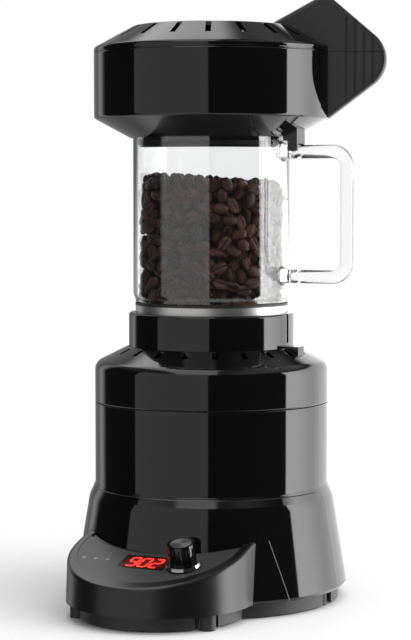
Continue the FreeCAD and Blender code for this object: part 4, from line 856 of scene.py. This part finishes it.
@dataclass
class GlassChamber:
    """The clear tube and its rod handle, redrawn smoothly over their CAD nodes."""

    paint: Paint
    wall: float = 2.4 * MM
    steps: int = 160
    tuck: float = 1.5 * MM
    tuck_height: float = 5.0 * MM
    tuck_steps: int = 6
    rod_radius: float = 4.3 * MM
    rod_play: float = 0.04 * MM
    bend: float = 9.5 * MM
    flare: float = 1.9 * MM
    flare_radius: float = 6.2 * MM
    flare_steps: tuple[Pair, ...] = ((0.0, 1.0), (1.5 * MM, 0.45), (4.0 * MM, 0.0))

    def build(self) -> None:
        """Make the tube and the handle."""
        glass = self.paint.materials["clear_glass"]
        place_piece("chamber_tube", self.tube(), Body.CHAMBER, glass, ("chamber_glass",))
        place_piece("chamber_rod", self.rod(), Body.CHAMBER, glass, ("chamber_handle",))

    def tube(self) -> bpy.types.Mesh:
        """Turn the wall's section: a tucked foot, a straight wall and a rolled lip.

        Returns:
            The tube's mesh.
        """
        low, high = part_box("chamber_glass")
        half = self.wall / 2
        centre = high.x - half
        foot_centre = centre - self.tuck
        straight = low.z + half + self.tuck_height
        rise = [step / self.tuck_steps for step in range(1, self.tuck_steps)]
        inner, outer = (
            [(foot_centre + side + self.tuck * ease(share), low.z + half + self.tuck_height * share)
             for share in rise] for side in (-half, half))
        foot = arc((foot_centre, low.z + half), half, 180, 360)
        lip = arc((centre, high.z - half), half, 0, 180)
        outline = foot + outer + [(high.x, straight)] + lip + [(high.x - self.wall, straight)] + inner[::-1]
        turns = [2 * math.pi * step / self.steps for step in range(self.steps)]
        rows = [[(radius * math.cos(turn), radius * math.sin(turn), height) for turn in turns]
                for radius, height in outline]
        return build_mesh("chamber_tube", [rows], closed=True)

    def rod(self) -> bpy.types.Mesh:
        """Bend the rod along its path and flare it where it meets the wall.

        Returns:
            The rod's mesh.
        """
        low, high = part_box("chamber_handle")
        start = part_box("chamber_glass")[1].x + self.rod_play
        corner = high.x - self.rod_radius - self.bend
        bottom, top = low.z + self.flare_radius, high.z - self.flare_radius
        runs = [start + along for along, _ in self.flare_steps]
        path = [(x, bottom) for x in runs]
        path += arc((corner, bottom + self.bend), self.bend, -90, 0)
        path += arc((corner, top - self.bend), self.bend, 0, 90)
        path += [(x, top) for x in reversed(runs)]
        radii = [self.rod_radius] * len(path)
        for index, (_, share) in enumerate(self.flare_steps):
            radii[index] += self.flare * share
            radii[-1 - index] += self.flare * share
        return sweep("chamber_rod", path, radii)


@dataclass
class Panel:
    """The sloping control panel's own frame, and what is drawn on it."""

    paint: Paint
    slope: float = math.radians(16.0)
    digit_height: float = 11.0 * MM
    digit_width: float = 5.4 * MM
    digit_pitch: float = 7.7 * MM
    stroke: float = 1.25 * MM
    bar_trim: float = 0.35
    lean: float = 0.14
    thickness: float = 0.08 * MM
    lit_bars: tuple[str, ...] = ("abcdfg", "abcdef", "abdeg")

    def build(self) -> None:
        """Draw the lit digits on the lens."""
        blocks = [self.bar((place - 1) * self.digit_pitch, name)
                  for place, names in enumerate(self.lit_bars) for name in names]
        mesh = build_mesh("display_digits", blocks, capped=True, smooth=False)
        mesh.transform(self.matrix())
        place_piece("display_digits", mesh, Body.BASE, self.paint.digits)

    def matrix(self) -> Matrix:
        """Find the way from the lens's surface, across and up the slope, to the object's frame.

        Returns:
            The matrix.
        """
        low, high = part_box("display_window")
        depth, rise = high.y - low.y, high.z - low.z
        cos, sin = math.cos(self.slope), math.sin(self.slope)
        thickness = (rise * cos - depth * sin) / (cos * cos - sin * sin)
        turn = Matrix.Rotation(self.slope, 4, "X")
        return Matrix.Translation(middle("display_window") + turn @ Vector((0.0, 0.0, thickness / 2))) @ turn

    def bar(self, shift: float, name: str) -> list[list[Triple]]:
        """Shape one bar of a digit.

        Args:
            shift: How far across the digit stands.
            name: The bar's usual letter, a to g.

        Returns:
            The corners of its two faces.
        """
        wide, tall, half = self.digit_width / 2, self.digit_height / 2, self.stroke / 2
        spots = {"a": (0, tall, 0), "g": (0, 0, 0), "d": (0, -tall, 0), "f": (-wide, tall / 2, 1),
                 "b": (wide, tall / 2, 1), "e": (-wide, -tall / 2, 1), "c": (wide, -tall / 2, 1)}
        x, y, upright = spots[name]
        length = (tall if upright else self.digit_width) / 2 - half * self.bar_trim
        corners = [(-length, 0), (-length + half, half), (length - half, half), (length, 0),
                   (length - half, -half), (-length + half, -half)]
        if upright:
            corners = [(-across, along) for along, across in corners]
        return [[(shift + x + a + (y + b) * self.lean, y + b, height) for a, b in corners]
                for height in (0.0, self.thickness)]


@dataclass
class Beans:
    """The load: roasted beans heaped in the chamber, packed against the glass."""

    paint: Paint
    count: int = 980
    seed: int = 7
    size: float = 1.0
    length: float = 10.4 * MM
    width: float = 7.8 * MM
    depth: float = 5.6 * MM
    section: tuple[Pair, ...] = ((0.0, 0.1), (0.12, 0.52), (0.62, 0.5), (1.0, 0.0), (0.72, -0.72),
                                 (0.0, -1.05), (-0.72, -0.72), (-1.0, 0.0), (-0.62, 0.5), (-0.12, 0.52))
    rings: int = 6
    back_power: float = 0.75
    face_power: float = 0.4
    face_depth: float = 0.12
    gap: float = 0.7 * MM
    heap: float = 80.0 * MM
    heap_swell: float = 3.0 * MM
    heap_turn: float = 1.9
    hollow: float = 19.0 * MM
    crown: float = 16.0 * MM
    side_share: float = 0.42
    floor_share: float = 0.55
    inner_share: float = 0.2
    spacing: float = 0.98
    rounds: int = 60
    push: float = 0.3
    edge_share: float = 0.8
    tilt_spread: float = 0.35
    roll_spread: float = 0.3
    turned_share: float = 0.35
    inner: float = field(init=False)
    floor: float = field(init=False)

    def build(self) -> None:
        """Pack the beans and set one at each place."""
        self.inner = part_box("chamber_glass")[1].x - GlassChamber.wall
        self.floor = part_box("air_plate")[1].z
        cloud = self.cloud(self.pack())
        pattern = self.pattern()
        modifier = cloud.modifiers.new("beans", "NODES")
        modifier.node_group = self.tree(pattern)
        inputs = {item.name: item.identifier for item in modifier.node_group.interface.items_tree}
        modifier[inputs["Size"]] = self.size
        bpy.context.view_layer.update()
        mesh = bpy.data.meshes.new_from_object(cloud.evaluated_get(bpy.context.evaluated_depsgraph_get()))
        cloud.modifiers.clear()
        bpy.data.objects.remove(cloud)
        bpy.data.objects.remove(pattern)
        place_piece("coffee_beans", mesh, Body.CHAMBER, self.paint.bean)

    def limits(self, spots: np.ndarray) -> np.ndarray:
        """Keep places inside the glass, above the plate, under the heap's surface and out of its hollow.

        Args:
            spots: The places, which are moved.

        Returns:
            The same places.
        """
        reach = self.inner - self.width * self.side_share - self.gap
        radius = np.maximum(np.hypot(spots[:, 0], spots[:, 1]), 1e-6)
        spots[:, :2] *= np.minimum(1.0, reach / radius)[:, None]
        radius = np.minimum(radius, reach)
        angle = np.arctan2(spots[:, 1], spots[:, 0])
        surface = self.floor + self.heap + self.heap_swell * np.cos(angle + self.heap_turn) - self.depth / 2
        spots[:, 2] = np.clip(spots[:, 2], self.floor + self.depth * self.floor_share, surface)
        pushed = (spots[:, 2] < surface - self.crown) & (radius < self.hollow)
        spots[pushed, :2] *= (self.hollow / radius[pushed])[:, None]
        return spots

    def pack(self) -> np.ndarray:
        """Scatter places and push them apart until they lie evenly.

        Returns:
            The places, in metres.
        """
        rng = np.random.default_rng(self.seed)
        radius = self.inner * np.sqrt(rng.uniform(self.inner_share, 1.0, self.count))
        angle = rng.uniform(0, 2 * math.pi, self.count)
        height = self.floor + rng.uniform(0, self.heap, self.count)
        spots = self.limits(np.stack([radius * np.cos(angle), radius * np.sin(angle), height], axis=1))
        for _ in range(self.rounds):
            gaps = spots[:, None, :] - spots[None, :, :]
            far = np.linalg.norm(gaps, axis=2) + np.eye(self.count)
            near = np.clip(self.width * self.spacing - far, 0, None) * (1 - np.eye(self.count))
            pushes = np.sum(gaps / far[:, :, None] * near[:, :, None], axis=1)
            spots = self.limits(spots + self.push * pushes)
        return spots

    def cloud(self, places: np.ndarray) -> bpy.types.Object:
        """Put the places, turns and tones on a mesh of loose points.

        Args:
            places: Where the beans lie.

        Returns:
            The points as an object.
        """
        rng = np.random.default_rng(self.seed + 1)
        turns = rng.uniform(-math.pi, math.pi, (len(places), 3))
        edge = np.hypot(places[:, 0], places[:, 1]) > self.inner - self.width * self.edge_share
        for index in np.nonzero(edge)[0]:
            turns[index] = self.lay(rng, math.atan2(places[index, 1], places[index, 0]))
        tones = rng.uniform(0, 1, len(places))
        mesh = bpy.data.meshes.new("bean_places")
        mesh.from_pydata([tuple(place) for place in places], [], [])
        for name, kind, key, data in (("turn", "FLOAT_VECTOR", "vector", turns),
                                      ("tone", "FLOAT", "value", tones)):
            mesh.attributes.new(name, kind, "POINT").data.foreach_set(key, data.astype(np.float32).ravel())
        return add_object("bean_places", mesh)

    def lay(self, rng: np.random.Generator, facing: float) -> Euler:
        """Lay a bean flat against the glass, with its face or its back outward.

        Args:
            rng: The source of random draws.
            facing: The direction of the glass, in radians.

        Returns:
            The bean's turn.
        """
        tilt = math.pi / 2 + rng.normal(0, self.tilt_spread)
        spin = rng.uniform(-math.pi, math.pi)
        roll = rng.normal(0, self.roll_spread) + math.pi * (rng.uniform() < self.turned_share)
        steps = [Matrix.Rotation(turn, 3, axis) for turn, axis in zip((facing, tilt, spin, roll), "ZYZX")]
        return (steps[0] @ steps[1] @ steps[2] @ steps[3]).to_euler("XYZ")

    def pattern(self) -> bpy.types.Object:
        """Shape one bean: rounded on its back, flat in front, with a deep crease along the flat side.

        Returns:
            The bean, with its crease in a UV layer.
        """
        rows = [[(-self.length / 2, 0.0, 0.0)]]
        for ring in range(1, self.rings):
            turn = math.pi * ring / self.rings
            back, face = math.sin(turn) ** self.back_power, math.sin(turn) ** self.face_power
            x = -self.length / 2 * math.cos(turn)
            wide, deep, flat = self.width / 2 * back, self.depth / 2 * back, self.depth / 2 * face
            rows.append([(x, wide * across, (flat if rise > 0 else deep) * rise)
                         for across, rise in self.section])
        rows.append([(self.length / 2, 0.0, 0.0)])
        mesh = build_mesh("bean", [rows])
        crease = mesh.uv_layers.new(name="crease")
        for loop in mesh.loops:
            spot = mesh.vertices[loop.vertex_index].co
            side = abs(spot.y) / (self.width / 2) if spot.z > -self.depth * self.face_depth else 1.0
            crease.data[loop.index].uv = (side, spot.x / self.length + 0.5)
        return add_object("bean", mesh)

    def tree(self, pattern: bpy.types.Object) -> bpy.types.NodeTree:
        """Make the tree that sets a bean on each place, turned as its attribute says.

        Args:
            pattern: The bean to repeat.

        Returns:
            The node tree.
        """
        tree = bpy.data.node_groups.new("set_beans", "GeometryNodeTree")
        for name, way, kind in (("Geometry", "INPUT", "Geometry"), ("Size", "INPUT", "Float"),
                                ("Geometry", "OUTPUT", "Geometry")):
            tree.interface.new_socket(name, in_out=way, socket_type="NodeSocket" + kind)
        bench = Bench(tree, prefix="")
        points = bench.node("GeometryNodeMeshToPoints", Mesh=bench.node("NodeGroupInput", out="Geometry"))
        bean = bench.node("GeometryNodeObjectInfo", out="Geometry", Object=pattern, As_Instance=True)
        turn = bench.node("GeometryNodeInputNamedAttribute", {"data_type": "FLOAT_VECTOR"}, out="Attribute",
                          Name="turn")
        beans = bench.node("GeometryNodeInstanceOnPoints", Points=points, Instance=bean,
                           Rotation=bench.node("FunctionNodeEulerToRotation", Euler=turn),
                           Scale=bench.node("NodeGroupInput", out="Size"))
        real = bench.node("GeometryNodeRealizeInstances", Geometry=beans)
        dressed = bench.node("GeometryNodeSetMaterial", Geometry=real, Material=self.paint.bean)
        bench.node("NodeGroupOutput", Geometry=dressed)
        return tree


@dataclass
class Surroundings:
    """White to the camera, a dark room with lit panels to gloss, a soft sky to dull surfaces.

    Places in the room are in degrees: around, from the camera to its right, and up from the level.
    """

    azimuth: float
    key_place: Triple = (0.62, 0.3, 0.72)
    key_light: float = 2.1
    top_light: float = 0.45
    fill_light: float = 0.1
    dim: Pair = (-80.0, -3.5)
    dim_soft: float = 0.6
    dim_light: float = 0.72
    bright_start: Pair = (77.0, 78.5)
    bright_fall: Pair = (78.0, 124.0)
    bright_tail: Pair = (124.0, 160.0)
    bright_lights: Triple = (6.6, 4.2, 0.9)
    bright_top: Pair = (24.0, 32.0)
    back_end: Pair = (-138.0, -126.0)
    back_light: float = 0.9
    back_dim_end: Pair = (-150.0, -139.0)
    back_dim: float = 0.62
    wall_light: float = 0.035
    roof_start: Pair = (30.0, 42.0)
    roof_panel: Pair = (-0.5, 0.07)
    roof_soft: float = 0.05
    roof_glow: Pair = (0.2, 0.5)
    roof_lights: Triple = (1.9, 0.35, 0.22)
    ground_end: Pair = (-48.0, -34.0)
    ground_light: float = 0.9

    def build(self) -> None:
        """Make the world."""
        world = bpy.data.worlds.new("studio")
        world.use_nodes = True
        bench = Bench(world.node_tree)
        camera, through, glossy, scattered = (
            bench.node("LightPath", out=name).math("MINIMUM", 1.0)
            for name in ("Is Camera Ray", "Is Transmission Ray", "Glossy Depth", "Diffuse Depth"))
        plain = camera.math("MAXIMUM", through * (1.0 - scattered) * (1.0 - glossy))
        mirror = glossy * (1.0 - scattered)
        light = plain + (1.0 - plain) * (mirror * self.room(bench) + (1.0 - mirror) * self.sky(bench))
        bench.node("OutputWorld", Surface=bench.node("Background", Color=grey(1.0), Strength=light))
        bpy.context.scene.world = world

    def sky(self, bench: Bench) -> Wire:
        """Find how bright each direction is to dull surfaces: soft, with a key light high at the right.

        Args:
            bench: Where nodes go.

        Returns:
            The brightness.
        """
        x, y, z = bench.axes("Generated")
        key = seen_from(self.azimuth, *self.key_place).normalized()
        above, facing = (light.math("MAXIMUM", 0.0) for light in (z, x * key.x + y * key.y + z * key.z))
        return facing * facing * facing * self.key_light + above * self.top_light + self.fill_light

    def room(self, bench: Bench) -> Wire:
        """Find how bright each direction is to gloss.

        Args:
            bench: Where nodes go.

        Returns:
            The brightness.
        """
        beside, away = bench.turned(self.azimuth, "Generated")
        turn = beside.math("ARCTAN2", away * -1.0) * DEGREES
        rise = bench.axes("Generated")[2].math("ARCSINE") * DEGREES
        dim = turn.between(*self.dim, self.dim_soft) * self.dim_light
        peak, fall, tail = self.bright_lights
        bright = peak - turn.smooth(*self.bright_fall) * fall - turn.smooth(*self.bright_tail) * tail
        bright = turn.smooth(*self.bright_start) * bright * (1.0 - rise.smooth(*self.bright_top))
        back = (1.0 - turn.smooth(*self.back_end)) * self.back_light
        back = back - (1.0 - turn.smooth(*self.back_dim_end)) * self.back_dim
        walls = dim + bright + back + self.wall_light
        panel, glow, dark = self.roof_lights
        roof_light = beside.between(*self.roof_panel, self.roof_soft) * panel
        roof_light = roof_light + beside.smooth(*self.roof_glow) * glow + dark
        roof = rise.smooth(*self.roof_start)
        ground = 1.0 - rise.smooth(*self.ground_end)
        return walls * (1.0 - roof) * (1.0 - ground) + roof * roof_light + ground * self.ground_light


@dataclass
class Studio:
    """The floor, the lamps and the camera, with the surroundings turned to the camera."""

    azimuth: float = math.radians(25.0)
    distance: float = 1.29
    camera_height: float = 0.262
    aim_height: float = 0.1786
    aim_left: float = 0.0039
    frame_pixels: float = 640.0
    focal_pixels: float = 2000.0
    sensor_height: float = 24.0
    clip_start: float = 0.05
    floor_reach: float = 1.1
    lamp_aim: float = 0.2
    overhead_place: Triple = (0.0, 0.1, 1.6)
    side_place: Triple = (1.1, 0.35, 0.7)

    def build(self) -> None:
        """Set everything up around the object."""
        self.floor()
        self.lamp("overhead", Vector(self.overhead_place), 1.6, 5.0)
        self.lamp("side", seen_from(self.azimuth, *self.side_place), 0.8, 2.5)
        Surroundings(self.azimuth).build()
        self.camera()
        bpy.context.scene.view_settings.view_transform = "Standard"

    def floor(self) -> None:
        """Lay the floor, which gloss and glass don't see."""
        mesh = bpy.data.meshes.new("floor")
        corners = (Vector(corner) for corner in ((-1, -1, 0), (1, -1, 0), (1, 1, 0), (-1, 1, 0)))
        mesh.from_pydata([corner * self.floor_reach for corner in corners], [], [range(4)])
        mesh.materials.append(Paper("floor").build())
        floor = add_object("floor", mesh)
        floor.visible_glossy = False
        floor.visible_transmission = False

    def lamp(self, name: str, place: Vector, size: float, power: float) -> None:
        """Hang one square lamp that points at the chamber.

        Args:
            name: The lamp's name.
            place: Where it hangs.
            size: Its side, in metres.
            power: Its power, in watts.
        """
        light = bpy.data.lights.new(name, "AREA")
        light.size = size
        light.energy = power
        lamp = add_object(name, light)
        lamp.visible_glossy = False
        self.point(lamp, place, Vector((0.0, 0.0, self.lamp_aim)))

    def camera(self) -> None:
        """Set a level-shouldered camera at the photograph's angle."""
        lens = bpy.data.cameras.new("camera")
        lens.sensor_fit = "VERTICAL"
        lens.sensor_height = self.sensor_height
        lens.lens = self.sensor_height * self.focal_pixels / self.frame_pixels
        lens.clip_start = self.clip_start
        camera = add_object("camera", lens)
        self.point(camera, seen_from(self.azimuth, 0.0, self.distance, self.camera_height),
                   seen_from(self.azimuth, -self.aim_left, 0.0, self.aim_height))
        bpy.context.scene.camera = camera

    def point(self, thing: bpy.types.Object, place: Vector, aim: Vector) -> None:
        """Put a lamp or camera in its place and point it at its aim."""
        thing.location = place
        thing.rotation_euler = (aim - place).to_track_quat("-Z", "Y").to_euler()


def main() -> None:
    """Dress the object and set up its studio."""
    logging.basicConfig(level=logging.INFO, format="%(message)s")
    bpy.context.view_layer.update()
    paint = Paint()
    paint.dress_nodes()
    Studio().build()
    for assembly in (BaseHousing, Panel, GlassChamber, Beans, ChaffCollector):
        log.info("building %s", assembly.__name__)
        assembly(paint).build()


if __name__ == "__main__":
    main()
